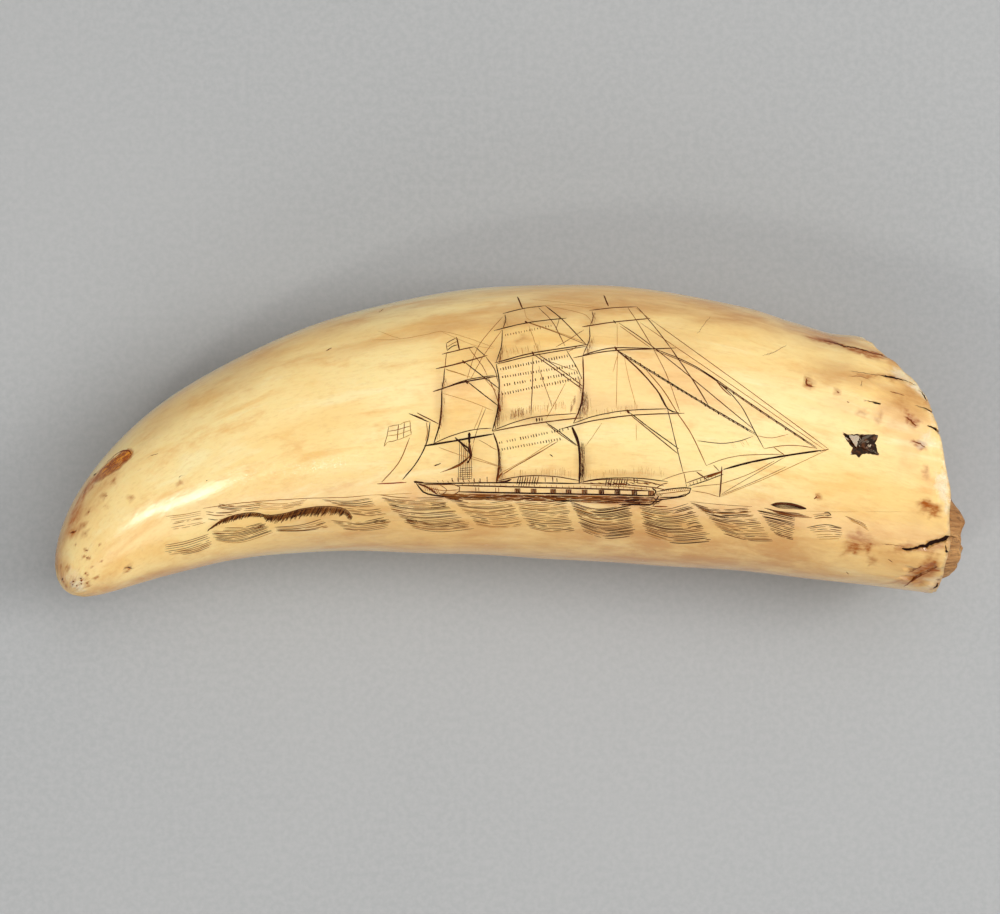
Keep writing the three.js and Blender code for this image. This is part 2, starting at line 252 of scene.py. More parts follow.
# --- masts: pole, yards as (left, right) ends, and the leeches that the sails hang between
def ship():
    D, B, F = "dark", "brown", "tan"
    # mizzen
    cut([(456.5, 337.2), (459.5, 350)], 1.5, D)
    cut([(446.3, 343.4), (451, 340.6), (456.6, 337.6)], 0.9, D); cut([(446.3, 343.4), (447.2, 350.6)], 0.8, D)
    cut([(447.2, 350.6), (452, 346.6), (458.2, 344.6)], 1.0, D); cut([(447, 346.9), (457.2, 341.2)], 0.7, B)
    cut([(441.9, 354.3), (458, 350.2), (474.9, 346.7)], 1.2, D)
    cut([(436, 368.8), (461, 362.8), (487.4, 355.5)], 1.5, D)
    cut([(433, 391.6), (462, 382.6), (497.6, 376)], 1.5, D); cut([(443.3, 388.2), (466, 380.2), (494.8, 375.2)], 1.0, D)
    cut([(424.3, 445.9), (458, 440.2), (493.2, 434)], 2.0, D)
    cut([(446.6, 353), (445.6, 361), (445.2, 367.6)], 0.8, B); cut([(444.8, 368), (443.6, 379), (441.9, 388.6)], 1.0, D)
    cut([(441.9, 389.3), (441.4, 409), (439.7, 424.5), (433.8, 443.6)], 1.5, D)
    cut([(441.4, 405), (441.0, 414), (439.0, 426)], 1.9, D)
    cut([(474.9, 346.7), (485.9, 356.3)], 0.8, D); cut([(469, 348), (474.9, 356.3), (483, 366.5), (487.4, 376)], 0.7, B)
    cut([(485.9, 357), (494.7, 369.5), (498, 382)], 0.9, D); cut([(488, 377.5), (494.7, 391.5), (498.6, 404.7)], 0.8, B)
    cut([(434.2, 443.2), (452.1, 435.6), (472.7, 429.8), (491.8, 428.2)], 1.0, D)
    cut([(463.9, 361.4), (480, 374.2), (499, 388.5)], 1.1, D); cut([(466.8, 381.2), (482, 393.2), (497.6, 405.4)], 1.1, D)
    cut([(462.4, 360.4), (464.8, 363.6)], 2.2, D); cut([(465.4, 379.8), (467.6, 384)], 2.2, D)
    for p in ([(446, 369), (466, 375.6)], [(442, 393), (470, 401.5), (493, 410.6)], [(439, 447.4), (470, 458.2), (503.5, 467.8)],
              [(468, 455.4), (486, 461.5), (500, 466)], [(502.8, 316.7), (478.5, 346), (466.8, 379.7)],
              [(502, 330), (486, 352), (470, 380)], [(446, 369.5), (473, 378)], [(482, 376), (496, 391)],
              [(486, 408), (478, 428), (473, 444)], [(483, 407), (474, 430)], [(479, 440), (497, 450)]):
        cut(p, 0.6, B if rng.random() < 0.5 else F, 0.2)
    # mizzen mast, its shrouds and the lifted corner of the lower sail
    cut([(469.2, 432.4), (469.4, 444)], 2.6, D); cut([(469.0, 443), (471.2, 454.8)], 2.2, D)
    cut([(455, 437.4), (463, 444.5), (469.6, 449)], 2.0, D); cut([(459, 441), (468, 452)], 1.4, D)
    for i in range(7):
        x = 458.6 + i * 2.3
        cut([(x + 1.0, 441 + i * 0.6), (x + 0.8 - 0.3 * i, 456), (x - 0.6, 480)], 0.55, B if i % 2 else D, 0.25)
    for i in range(6):
        cut([(459.5 - i * 0.3, 468.6 + i * 2.1), (472.6 - i * 0.2, 467.6 + i * 2.2)], 0.6, D, 0.3)
    for i in range(9):
        k = i / 8
        cut([(470.5 - k * 1.5, 455 + k * 2), (463.5 - k * 3, 461.5 + k * 4), (452 - k * 12, 468 + k * 4.5)], 0.9 - 0.4 * k, D if i < 3 else B, 0.3)
    for i in range(5):
        cut([(467 + i * 0.9, 446 + i), (470 + i * 0.5, 456), (468.5 - i * 0.5, 463)], 1.0, D, 0.3)
    # main
    cut([(517.4, 296.9), (522.8, 308.8)], 1.6, D)
    cut([(502.8, 313.7), (522, 308.8), (545.3, 305.7)], 1.2, D)
    cut([(494, 330.6), (528, 322.6), (566.6, 318.1)], 1.2, D)
    cut([(494.7, 363), (531.4, 353.4), (587.1, 344.5)], 1.3, D); cut([(496.5, 364.0), (533, 355.6), (585.6, 346.4)], 1.1, D)
    cut([(525, 321), (527.4, 323.6)], 2.0, D); cut([(532, 351.6), (534.2, 355.4)], 2.2, D)
    cut([(505, 314.5), (505.7, 321), (502.8, 328.4)], 0.9, D); cut([(502.4, 330), (501.3, 346), (496.2, 362.1)], 1.0, D)
    cut([(496.2, 364.3), (499.1, 382.7), (497.8, 409.1), (492.3, 431.1)], 1.4, D)
    cut([(499, 392), (498.6, 402), (500.2, 412)], 1.8, D)
    cut([(545.3, 305.7), (559.2, 316.7), (572.4, 330), (586.2, 344.6)], 1.1, D)
    cut([(538.7, 307.9), (551.9, 321), (559.2, 334.3), (565, 346)], 0.8, B)
    cut([(566.6, 350.4), (575.4, 365), (582, 378.6)], 0.9, D)
    cut([(525.5, 321.8), (556, 332.5), (587, 344.8)], 0.8, B); cut([(528, 322.2), (557, 331.8), (584, 342)], 0.6, F)
    cut([(534.3, 354.8), (558, 371.4), (582.7, 389.3)], 1.1, D); cut([(537.6, 354), (560, 369.2), (583, 386.4)], 1.0, D)
    cut([(532.8, 357.2), (532.4, 385), (531.0, 415.4)], 0.9, D)
    for p in ([(539, 366), (543.5, 382), (552, 406)], [(566, 382), (556, 401), (546, 419)], [(529, 326), (536, 345), (541, 358)],
              [(560, 316), (556, 330)], [(584, 330), (571, 338), (556, 347)], [(545, 360), (577, 371)], [(580, 345), (568, 352)]):
        cut(p, 0.6, B if rng.random() < 0.6 else F, 0.2)
    cut([(492.5, 430.6), (516.7, 421.6), (538.7, 416.4), (576.1, 413.5)], 1.0, D)
    cut([(492.5, 431.4), (531.4, 424), (560, 420.2), (583, 417.6)], 1.3, D)
    cut([(536.5, 418), (536.9, 421.8)], 1.8, D); cut([(539.2, 417.6), (539.6, 421.4)], 1.8, D); cut([(541.8, 417.4), (542, 421)], 1.4, D)
    cut([(493.2, 432.6), (497.6, 445.8), (499.1, 463.4), (496.9, 482.2)], 1.8, D)
    cut([(499, 466), (498, 474), (496.6, 482.6)], 2.4, D); cut([(502.5, 472.6), (498.2, 478), (496.4, 482)], 1.6, B)
    cut([(572.4, 427), (578.3, 441.4), (579.8, 463.4), (579.2, 483.6)], 2.2, D)
    cut([(546, 422.6), (562, 433.6), (577.6, 445.8)], 1.1, D); cut([(547.6, 424.8), (562, 435.6), (576, 445.6)], 0.9, D)
    cut([(497.6, 481), (514, 477.4), (531.4, 475.8), (556, 476.6), (578.8, 480.4)], 1.1, D)
    cut([(497, 482.6), (505, 481.4), (511.5, 479.4)], 2.0, D)
    cut([(557.8, 441.4), (530, 458), (502, 474.6)], 0.8, B, 0.25); cut([(554, 440.8), (527, 458.2), (500.6, 473)], 0.6, F, 0.25)
    cut([(545, 449), (524, 461), (500, 477)], 0.5, F, 0.2)
    for (a, b, n) in (((500.6, 369.2), (567, 356), 27), ((502.8, 377), (575, 365.6), 29), ((502, 385.4), (577, 372.6), 30), ((502.8, 394), (581.2, 377.6), 31)):
        dashes(a, b, n, 2.5, 1.15, D, 0.12)
    dashes((505.4, 335.2), (551, 325.8), 18, 2.0, 0.85, B, 0.1)
    dashes((499.4, 442.8), (568, 428.6), 27, 2.4, 1.1, D, 0.14); dashes((502, 449.4), (560, 439), 22, 2.3, 1.05, D, 0.14)
    # fore
    cut([(603.8, 295.2), (608.4, 306.2)], 1.5, D)
    cut([(589.5, 310.5), (612, 307.8), (636.8, 306.8)], 1.2, D)
    cut([(582.3, 326.8), (612, 322.4), (650.2, 318.3)], 1.4, D)
    cut([(573.4, 357.8), (612, 350.8), (676, 348)], 1.2, D); cut([(583, 355), (598, 350.6), (616, 347.8), (652, 348.4)], 1.2, D)
    cut([(613.4, 320.4), (615.6, 323.4)], 1.8, D); cut([(614.8, 346.6), (617, 351)], 2.2, D)
    cut([(592, 311.3), (593.2, 317.5), (590.4, 324.6)], 0.9, D); cut([(589.5, 326.4), (589.6, 339), (583.2, 354.6)], 1.0, D)
    cut([(582.9, 356.8), (583.4, 387), (579.6, 408.6), (573.4, 423.4)], 1.5, D)
    cut([(583.4, 392), (582, 402), (578.4, 412)], 1.9, D)
    cut([(636.8, 306.8), (652.9, 324.6), (670.7, 347.9)], 1.1, D); cut([(627.9, 307.7), (636.8, 321), (652.9, 347.9)], 0.8, B)
    cut([(670.7, 347.9), (693.9, 381.8), (708.2, 405)], 1.2, D)
    cut([(615.4, 348.8), (638.6, 369.3), (657.3, 390.7), (667.4, 408.8)], 1.6, D)
    cut([(657, 390), (668, 409), (678.6, 412.6)], 1.4, D)
    cut([(667.4, 408.6), (674.3, 437), (683.2, 472.6)], 0.9, D)
    cut([(645.7, 369.3), (663.6, 390.7), (677.9, 413.9), (692, 435.4), (706.4, 465.6)], 1.0, B)
    cut([(653, 348), (667, 376), (680, 412)], 0.7, B)
    cut([(573.6, 423.2), (595.7, 415.7), (626, 410.6), (667, 408.8)], 1.0, D)
    cut([(560, 429.2), (570.7, 426.4), (595.7, 420.2), (635, 415), (684.4, 413.2)], 1.2, D)
    cut([(626.6, 409.8), (629.6, 413.6)], 2.4, D)
    cut([(628.8, 412), (652, 429.6), (678.8, 448.8)], 1.1, D); cut([(630.6, 415), (653, 433.4), (678, 453.8)], 1.1, D)
    cut([(571.6, 427.3), (577.9, 444.3), (580.5, 458.6), (578.9, 483)], 1.6, D)
    cut([(579, 482.8), (600, 478.8), (634, 478), (668, 481.6)], 1.1, D)
    for p in ([(617.6, 352), (617, 380), (616.2, 408)], [(624.4, 357), (629, 380), (636.6, 408)], [(602, 423), (586, 446)],
              [(618.5, 351.6), (613, 372)], [(617, 324), (617.4, 346)], [(636, 424), (636.6, 440)]):
        cut(p, 0.5, F, 0.2)
    # head: stays, their hanks, and the jibs
    cut([(651, 319.8), (740, 384), (828, 448.6)], 0.8, B, 0.1); cut([(640, 322.6), (730, 384), (824.6, 449.6)], 0.7, B, 0.1)
    cut([(636, 308), (651, 320)], 0.6, F, 0.1)
    for p in ([(652.9, 347.9), (697.5, 367.5), (756, 407.4), (816.4, 447.4)], [(617, 350), (667, 380.6), (711, 407.4), (755.4, 433.4)]):
        cut(p, 1.0, D, 0.1); q = np.array(p) + [0.9, 1.9]; cut(q, 0.8, D, 0.1)
    ticks([(622, 352.6), (667, 381.6), (711, 408.4), (752, 432.4)], 5.6, 2.6, 1.5, D)
    ticks([(700, 369.6), (756, 408.4), (812, 445.6)], 10.5, 2.4, 1.5, D)
    cut([(618.9, 322.9), (645.7, 341.4), (692, 378.4), (752.9, 428.6)], 1.0, D, 0.1); cut([(620, 326), (650, 347.4)], 0.8, B, 0.1)
    cut([(697, 367), (720, 384), (740, 404.4), (755, 432), (763.6, 447.9)], 1.0, D)
    cut([(716, 380), (722, 388), (731, 396)], 1.2, B)
    cut([(697.5, 440.7), (720.7, 443.4), (738, 441.4), (752.9, 436.4)], 0.8, D); cut([(755.8, 435.4), (770.7, 438), (788.6, 434.2)], 0.6, B)
    cut([(706.4, 465.6), (722, 459.6), (744, 455.2), (783, 454.2)], 0.7, B); cut([(763.6, 448.8), (780, 446), (797, 445.4), (817, 448.4)], 0.8, B)
    cut([(723.4, 469.4), (752, 462), (783.2, 456), (821, 450.4)], 2.1, D, 0.08)
    cut([(685, 483.4), (704, 476.8), (723.4, 470.6)], 1.1, D); cut([(688, 486.4), (706, 480.6), (723.4, 474.2)], 1.1, D)
    cut([(706, 477.6), (715, 474.4), (722, 471.6)], 2.2, B)
    for i in range(9):
        x = 686 + i * 3.6
        cut([(x, 484.0 - i * 1.3), (x + 0.8, 487.0 - i * 1.3)], 0.7, D, 0.1)
    cut([(721.8, 466.6), (721.2, 480), (719.5, 497)], 1.6, D)
    cut([(719.5, 497), (762, 480), (798, 463.6), (827.9, 449.6)], 0.7, F, 0.1); cut([(720, 495.6), (757, 480.4), (786, 466.8)], 0.6, B, 0.1)
    cut([(721.6, 483.6), (748, 474.6), (775, 460.6)], 0.7, B, 0.1); cut([(721.6, 494), (752, 476), (785, 457)], 0.6, B, 0.1)
    cut([(692, 490.7), (706, 493), (719.4, 497)], 0.7, B); cut([(692.4, 487.4), (706, 485.4), (721.6, 484)], 0.7, B)
    cut([(773.4, 447), (785, 455.4)], 0.9, B); cut([(696.6, 472), (707.6, 480)], 1.3, D); cut([(713.4, 465), (719, 471)], 0.8, B)
    cut([(684, 473), (686, 483)], 0.8, B); cut([(662, 480), (684, 472.6), (702, 470.4)], 0.7, B)
    cut([(829, 449), (820, 451.4)], 1.0, B)
    # stern: gaff, boom, after sail and a plain ensign
    cut([(408.9, 413.5), (428.7, 421.8)], 1.2, D); cut([(416.9, 412.8), (438.4, 423.8)], 1.2, D); cut([(414, 415), (423.4, 418.6)], 0.8, B)
    cut([(430.1, 421.6), (427.2, 441.4), (416.9, 461.9), (402.6, 479.6)], 1.3, D); cut([(426.5, 422.3), (427.4, 432), (425.7, 441.4)], 0.8, B)
    cut([(409.6, 437.7), (399.3, 461.9), (381.7, 482.2)], 1.0, B)
    cut([(377.3, 483.9), (391, 483.2), (406.4, 482.4)], 1.3, "red")
    ens = [(389, 426.4), (399, 424.6), (409.8, 420.6), (411.2, 434.6), (398, 439.8), (388, 442), (384, 446.4), (389, 426.4)]
    for i in range(len(ens) - 1):
        cut(ens[i:i + 2], 0.7, F if i % 2 else B, 0.3)
    cut([(398.6, 424.2), (397.2, 440)], 0.9, B); cut([(404.4, 422.6), (403.4, 437.6)], 0.8, B)
    cut([(388.2, 431.4), (398, 429.6), (411, 425.8)], 0.8, B); cut([(387.2, 436), (398, 434.4), (411.6, 429.6)], 0.7, F)
    # long faint lines over the after part of the picture
    cut([(372, 340), (404, 338.6), (430, 334), (441, 331.4), (466, 337), (495, 348)], 0.45, F, 0.4)
    cut([(441, 331.4), (470, 344), (494, 349)], 0.4, F, 0.3); cut([(378, 331), (401, 339)], 0.4, F, 0.3)
    cut([(519, 309), (560, 305), (602, 309)], 0.4, F, 0.3); cut([(530, 299), (564, 302.6), (604, 308)], 0.4, F, 0.3)
    cut([(548, 306), (584, 314), (592, 324)], 0.5, F, 0.3); cut([(524, 308.6), (527, 318), (536, 322)], 0.4, F, 0.2)


def sail_tone():
    """Fine hatching that rounds the sails, on the side away from the wind."""
    D, B, F = "dark", "brown", "tan"
    shade([(497.4, 392), (498, 408), (493.4, 428)], (1, -0.1), 60, 13, 0.5, B, 0.05)
    shade([(498, 402), (497, 416), (494, 427)], (1, 0), 34, 7, 0.6, D, 0.04)
    shade([(505, 420), (530, 411), (566, 407)], (0, -1), 66, 9, 0.45, F, 0.03)
    shade([(510, 418), (528, 412)], (0, -1), 28, 8, 0.5, B, 0.03)
    shade([(501, 348), (498, 361)], (1, 0), 26, 10, 0.5, B, 0.1)
    shade([(505, 356), (540, 347)], (0.2, -1), 26, 7, 0.4, F, 0.2)
    shade([(504, 318), (503, 327)], (1, 0), 12, 8, 0.4, F, 0.1)
    shade([(441, 400), (440, 420), (436, 438)], (1, 0), 32, 8, 0.5, B, 0.05)
    shade([(443.6, 378), (441.4, 388)], (1, 0), 14, 9, 0.5, B, 0.2)
    shade([(498.6, 450), (499.4, 470), (499, 480)], (1, 0), 40, 6, 0.55, D, 0.02)
    shade([(503, 478), (540, 473), (572, 474)], (0, -1), 34, 5, 0.45, F, 0.0)
    shade([(582, 394), (580, 408), (577, 416)], (1, 0), 60, 12, 0.6, D, 0.0)
    shade([(584, 402), (583, 414)], (1, 0), 26, 16, 0.5, B, 0.0)
    shade([(586, 416), (640, 408)], (0, -1), 38, 7, 0.4, F, 0.0)
    shade([(590, 340), (586, 352)], (1, 0), 22, 12, 0.45, B, 0.1)
    shade([(592, 316), (591, 323)], (1, 0), 12, 10, 0.45, B, 0.1)
    shade([(580.4, 446), (581.4, 464), (580.6, 480)], (1, 0), 80, 9, 0.6, D, 0.0)
    shade([(586, 478), (630, 472), (664, 474)], (0, -1), 40, 6, 0.4, F, 0.0)
    shade([(580, 380), (582, 392)], (-1, 0), 22, 6, 0.5, B, 0.0)
    shade([(576, 398), (571, 412)], (-0.7, 0), 20, 6, 0.5, B, 0.0)
    shade([(726, 446), (748, 441)], (0, 0.4), 8, 8, 0.35, F, 0.5)


def hull():
    D, B, F = "dark", "brown", "tan"
    cut([(414.2, 482.6), (440, 483.4), (500, 482.6), (580, 483.6)], 1.6, D); cut([(413.8, 481.6), (424, 482.8)], 2.2, D)
    cut([(580, 483.4), (620, 484.6), (652, 487.2), (664, 489.6)], 1.2, D)
    cut([(416.4, 483.4), (423.7, 492.2), (436, 495.6), (449.8, 497.2)], 1.8, D)
    cut([(418, 483.8), (428, 487.6), (437.6, 494.6)], 2.2, D)
    cut([(421, 484.8), (440, 484.6), (455, 484.8), (461, 489.4), (450, 496.2), (438, 494.8)], 1.1, D)
    cut([(428, 487.8), (444, 490.6), (460, 489.6)], 0.8, B); cut([(440, 485), (447, 490.2), (441, 495)], 0.8, B)
    for i in range(8):
        cut([(424 + i * 1.8, 485.4 + i * 0.3), (426 + i * 2, 490.8 + i * 0.5)], 0.6, B, 0.1)
    cut([(455.4, 485.4), (500, 486.4), (560, 488), (610, 489.4), (654, 491)], 1.7, D)
    cut([(458, 491.8), (500, 492.6), (560, 493.8), (610, 494.8), (655, 495.8)], 1.9, D)
    cut([(436, 495.8), (470, 497.4), (500, 497)], 1.6, D); cut([(448, 497.2), (455, 499.6), (463, 500.8)], 1.3, D)
    # dark bottom: long grained strokes
    for i in range(11):
        v = (i + 0.5) / 11
        x = 438 + 10 * v
        while x < 652:
            k = (x - 438) / 214
            y = 493.4 + (x - 444) * 0.016 + v * (6.0 + 3.9 * max(0.0, (k - 0.5) / 0.5))
            L = rng.uniform(10, 36)
            heavy = rng.random() < 0.03 + 0.6 * k
            cut([(x, y), (x + L / 2, y + L * 0.008 + 0.15), (min(x + L, 654), y + L * 0.018)], rng.uniform(0.56, 0.9) * (1 + 0.35 * k), D if heavy else (B if rng.random() < 0.35 + 0.6 * k else "seab"), 0.12, step=7)
            x += L + rng.uniform(0.5, 4)
    cut([(600, 499), (630, 501.6), (644, 505), (650, 505.4)], 1.8, D); cut([(650, 505.4), (655.6, 500.6), (659, 495.6)], 1.6, D)
    cut([(657, 491.6), (672, 488.8), (688.6, 487.8), (691.4, 490.4), (684, 496.2), (668, 498.8), (659, 500.4), (653, 505.8)], 1.4, D)
    cut([(660, 497.4), (676, 497), (686, 493.8)], 1.2, D); cut([(658, 494), (674, 492.4), (690, 490.4)], 0.8, B)
    for i in range(14):
        cut([(662 + i * 1.95, 488.8 - i * 0.05), (663 + i * 1.95, 491.6 - i * 0.08)], 0.6, B, 0.08)
    cut([(652, 488), (656, 491.6), (652, 496.2)], 1.5, D); cut([(655, 489), (662, 484.4), (668, 483)], 1.0, B)
    for i in range(7):
        cut([(654 + i * 1.4, 492 + i * 0.2), (653 + i * 1.4, 496.6 - i * 0.1)], 0.7, D, 0.08)
    # gun ports along the pale strip: each a small hatched square
    ports = (477.3, 497.2, 517.5, 533.6, 553.2, 568.6, 584.6, 601.4, 617.5, 634.4, 651)
    for i, x in enumerate(ports):
        y = 487.4 + (x - 477) * 0.019
        heavy = i in (5, 7, 8, 9)
        if i < 2:
            for xx in (x - 1.6, x + 1.4):
                cut([(xx, y), (xx + 0.2, y + 5.2)], 0.9, B, 0.05, step=9)
            continue
        for j in range(6):
            xx = x - 2.4 + j * 0.96
            cut([(xx, y + 0.2), (xx + rng.uniform(-0.2, 0.2), y + rng.uniform(4.8, 5.6))], 1.15, D if (heavy and j != 1) or (j in (2, 4) and i != 10) else B, 0.05, step=9)
    for i in range(34):
        x = 462 + i * 5.6 + rng.uniform(-1, 1)
        y = 483.6 + (x - 462) * 0.02
        cut([(x, y), (x + 0.2, y + 2.4)], 0.6, B, 0.05, step=9)
    # two clumps of tall upright strokes and a scatter of short marks at the rail
    for x0 in (517, 606):
        for i in range(9):
            x = x0 + i * 2.5 + rng.uniform(-0.4, 0.4); y = 477.4 + (x0 > 560) * 1.6
            cut([(x + 1.4, y - rng.uniform(0, 1.6)), (x - 0.6, y + rng.uniform(7.2, 9.6))], 1.0, D, 0.15, step=4)
    for x in (545, 552.6, 556.8, 634, 637, 452, 458, 463, 474, 480, 487):
        cut([(x, 477.6 + rng.uniform(-1, 1) + (x > 600) * 1.0), (x + 0.3, 481.8 + (x > 600) * 0.8)], rng.uniform(0.8, 1.5), D, 0, step=9)
    for i in range(9):
        x = 437 + i * 5.2
        cut([(x, 480.6 + rng.uniform(-1, 0.6)), (x + 1.5, 482.2)], 0.8, B, 0, step=9)
    cut([(580, 482.4), (604, 479.6), (640, 480.6), (664, 486)], 1.0, D); cut([(590, 485.4), (618, 486.4), (650, 489.4)], 0.8, B)
    for i in range(22):
        x = rng.uniform(584, 652)
        cut([(x, 482 + rng.uniform(0, 1.5)), (x + 6, 483 + rng.uniform(0, 2.5))], 0.8, D if i % 2 else B, 0.1)


# --- the sea: hammock-shaped bundles of fine strokes between pale crests
def along_n(p, n=32):
    p = spline(p, 12)
    k = np.linspace(0, len(p) - 1, n)
    return np.stack([np.interp(k, np.arange(len(p)), p[:, 0]), np.interp(k, np.arange(len(p)), p[:, 1])], -1)


def bundle(top, low, n, w=0.62, dark=0.45, breaks=0.7, ragged=0.035, faint=False, ends=0.0, grow=0.05):
    """Strokes between an upper and a lower curve, each broken here and there, heavier towards the right end."""
    t, b = along_n(top), along_n(low)
    for q in (t, b):
        c = q.mean(0)
        q[:, 0] = c[0] + (q[:, 0] - c[0]) * (1 + grow)
    k = np.linspace(0, 1, len(t))
    n = max(3, int(round(n * 0.80)))
    for i in range(n):
        v = (i + rng.uniform(0.25, 0.75)) / n
        line = t * (1 - v) + b * v
        line = line + np.stack([np.zeros(len(k)), 0.2 * np.sin(k * rng.uniform(2, 5) + rng.uniform(0, 6))], -1)
        rag = ragged * (0.35 + 1.3 * v)
        cuts = [rng.uniform(0, 2 * rag)]
        if rng.random() < breaks:
            cuts += sorted(rng.uniform(0.2, 0.85, 1 if rng.random() < 0.6 else 2))
        cuts.append(1 - rng.uniform(0, 1.6 * rag))
        for u, z in zip(cuts[:-1], cuts[1:]):
            u, z = u + 0.01, z - 0.015
            if z - u < 0.07:
                continue
            q = line[(k >= u) & (k <= z)]
            if len(q) < 3:
                continue
            late = 0.5 * (u + z) > 0.55
            r = rng.random()
            tone = ("seab" if r < 0.5 else "tan") if faint else ("sea" if r < dark * (1.6 if late else 1.05) else ("seab" if r < 0.96 else "tan"))
            cut(q, w * 1.22 * rng.uniform(0.65, 1.45) * (1.0 + ends * late), tone, 0.06, step=4.6, curve=False, taper=1.7)


def sea():
    D, B, F = "dark", "brown", "tan"
    cut([(203, 508.4), (232, 504.2), (262, 501.2), (310, 498.2), (346, 497.2), (372, 495)], 0.75, B, 0.2)
    cut([(372, 495), (398, 494), (412, 493.4)], 0.5, F, 0.2); cut([(690, 501.6), (720, 504.6), (752, 506.6)], 0.5, B, 0.2)
    cut([(806, 511.2), (836, 511.8), (858, 511.6)], 0.24, F, 0.25, depth=0.01); cut([(866, 511.8), (902, 511.6)], 0.2, F, 0.25, depth=0.01)
    # left end: faint slanting groups
    bundle([(165, 516), (184, 513.6), (201, 510)], [(172, 521), (188, 518.8), (204, 516)], 4, 0.5, faint=True)
    bundle([(173, 521), (190, 517.5), (203, 516.6)], [(170, 531), (188, 528), (206, 523)], 5, 0.45, faint=True)
    bundle([(163, 545), (184, 541), (209, 532.6)], [(166, 556), (188, 552), (213, 543)], 8, 0.62, 0.2, 0.4)
    bundle([(178, 551), (196, 548), (212, 541)], [(180, 556), (196, 552.5), (214, 545)], 3, 0.8, 0.5, 0.2)
    # over and under the long-backed creature
    bundle([(204, 509), (222, 510.8), (240, 509)], [(206, 519.6), (216, 521.2), (226, 520)], 4, 0.7, 0.4)
    bundle([(219, 503.4), (238, 505.4), (262, 502.4)], [(214, 507), (238, 511), (262, 509.6)], 5, 0.6, 0.3)
    bundle([(252, 501.8), (282, 503.4), (308, 498.8)], [(256, 508.6), (280, 509.4), (304, 505)], 6, 0.5, 0.15, 0.9, faint=True)
    bundle([(320, 499), (346, 500.6), (371, 496.4)], [(338, 505.6), (362, 508), (379, 506)], 7, 0.55, 0.35)
    bundle([(344, 507.6), (366, 509.8), (380, 508)], [(350, 514), (372, 517), (388, 515)], 6, 0.55, 0.35)
    bundle([(211, 531), (238, 530.4), (266, 522.6)], [(214, 540.6), (240, 543.4), (274, 532)], 11, 0.62, 0.55, 0.5)
    bundle([(226, 527), (244, 526), (262, 521)], [(218, 532), (244, 532), (268, 526)], 5, 0.55, 0.4)
    bundle([(272, 527), (300, 524.6), (322, 518)], [(276, 531.6), (304, 531.6), (331, 527)], 8, 0.6, 0.5, 0.5, ends=0.2)
    bundle([(330, 519.4), (356, 521.6), (384, 516.6)], [(342, 529.4), (366, 531), (392, 527)], 9, 0.6, 0.45, 0.6)
    bundle([(372, 519.6), (382, 519.4), (389, 518.4)], [(374, 524), (384, 524), (392, 522.6)], 4, 0.8, 0.6, 0.2)
    # the large bundles, each hanging between two crests
    bundle([(378, 494.2), (404, 497.4), (444, 497.0)], [(402, 521.8), (432, 527.4), (468, 523.0)], 24, 0.56, 0.48)
    bundle([(403, 517), (432, 522.6), (466, 519.4)], [(410, 527.4), (440, 532), (478, 528)], 9, 0.6, 0.5)
    bundle([(405, 517.4), (411, 519.6), (417, 519.4)], [(407, 522), (412, 523.6), (418, 523.4)], 3, 0.9, 1.0, 0.2)
    bundle([(430, 502), (438, 503), (446, 501.8)], [(431, 507.6), (439, 508), (447, 506)], 4, 0.75, 0.8, 0.2)
    bundle([(449, 499.4), (482, 502.4), (512, 499)], [(476, 525.0), (500, 529.0), (525, 525.6)], 21, 0.58, 0.46)
    bundle([(513.4, 500.0), (540, 502.2), (567, 498.8)], [(528, 528.0), (552, 532.6), (577, 531.0)], 24, 0.60, 0.48, ends=0.2)
    bundle([(569.6, 500.6), (598, 508.2), (631, 502.4)], [(581, 530), (606, 538.6), (637, 535.6)], 27, 0.64, 0.62, ends=0.3)
    bundle([(639, 505.0), (664, 508.6), (690, 501.8)], [(643, 533.6), (676, 543.6), (716, 541.6)], 27, 0.64, 0.6, ends=0.3)
    bundle([(690, 502.2), (716, 509), (748, 507.4)], [(702, 512), (726, 518.4), (756, 516.6)], 9, 0.74, 0.7)
    bundle([(705, 514), (730, 519.6), (757, 517.6)], [(724, 534.4), (750, 541.4), (776, 542)], 18, 0.56, 0.42, ends=0.15)
    bundle([(756, 508.6), (776, 512.4), (797, 517.6)], [(773, 533), (783, 537.6), (794, 541)], 17, 0.72, 0.75, 0.35)
    bundle([(813, 514), (822, 512.8), (831, 512.8)], [(814, 520), (824, 518.6), (833, 519)], 4, 0.75, 0.6, 0.3)
    bundle([(807, 527.4), (826, 525.2), (843, 528)], [(818, 540), (830, 540), (842, 539.6)], 7, 0.6, 0.45, 0.4)
    cut([(807, 527.6), (826, 524.6), (842, 528)], 0.9, D); cut([(824, 512.8), (828, 512.2), (831, 515)], 1.1, D)
    for i in range(4):
        cut([(845 + i * 2, 516 + i * 1.6), (856 + i * 2, 520 + i * 2), (866 + i, 525 + i * 2)], 0.6, "brown" if i < 2 else "tan", 0.2)


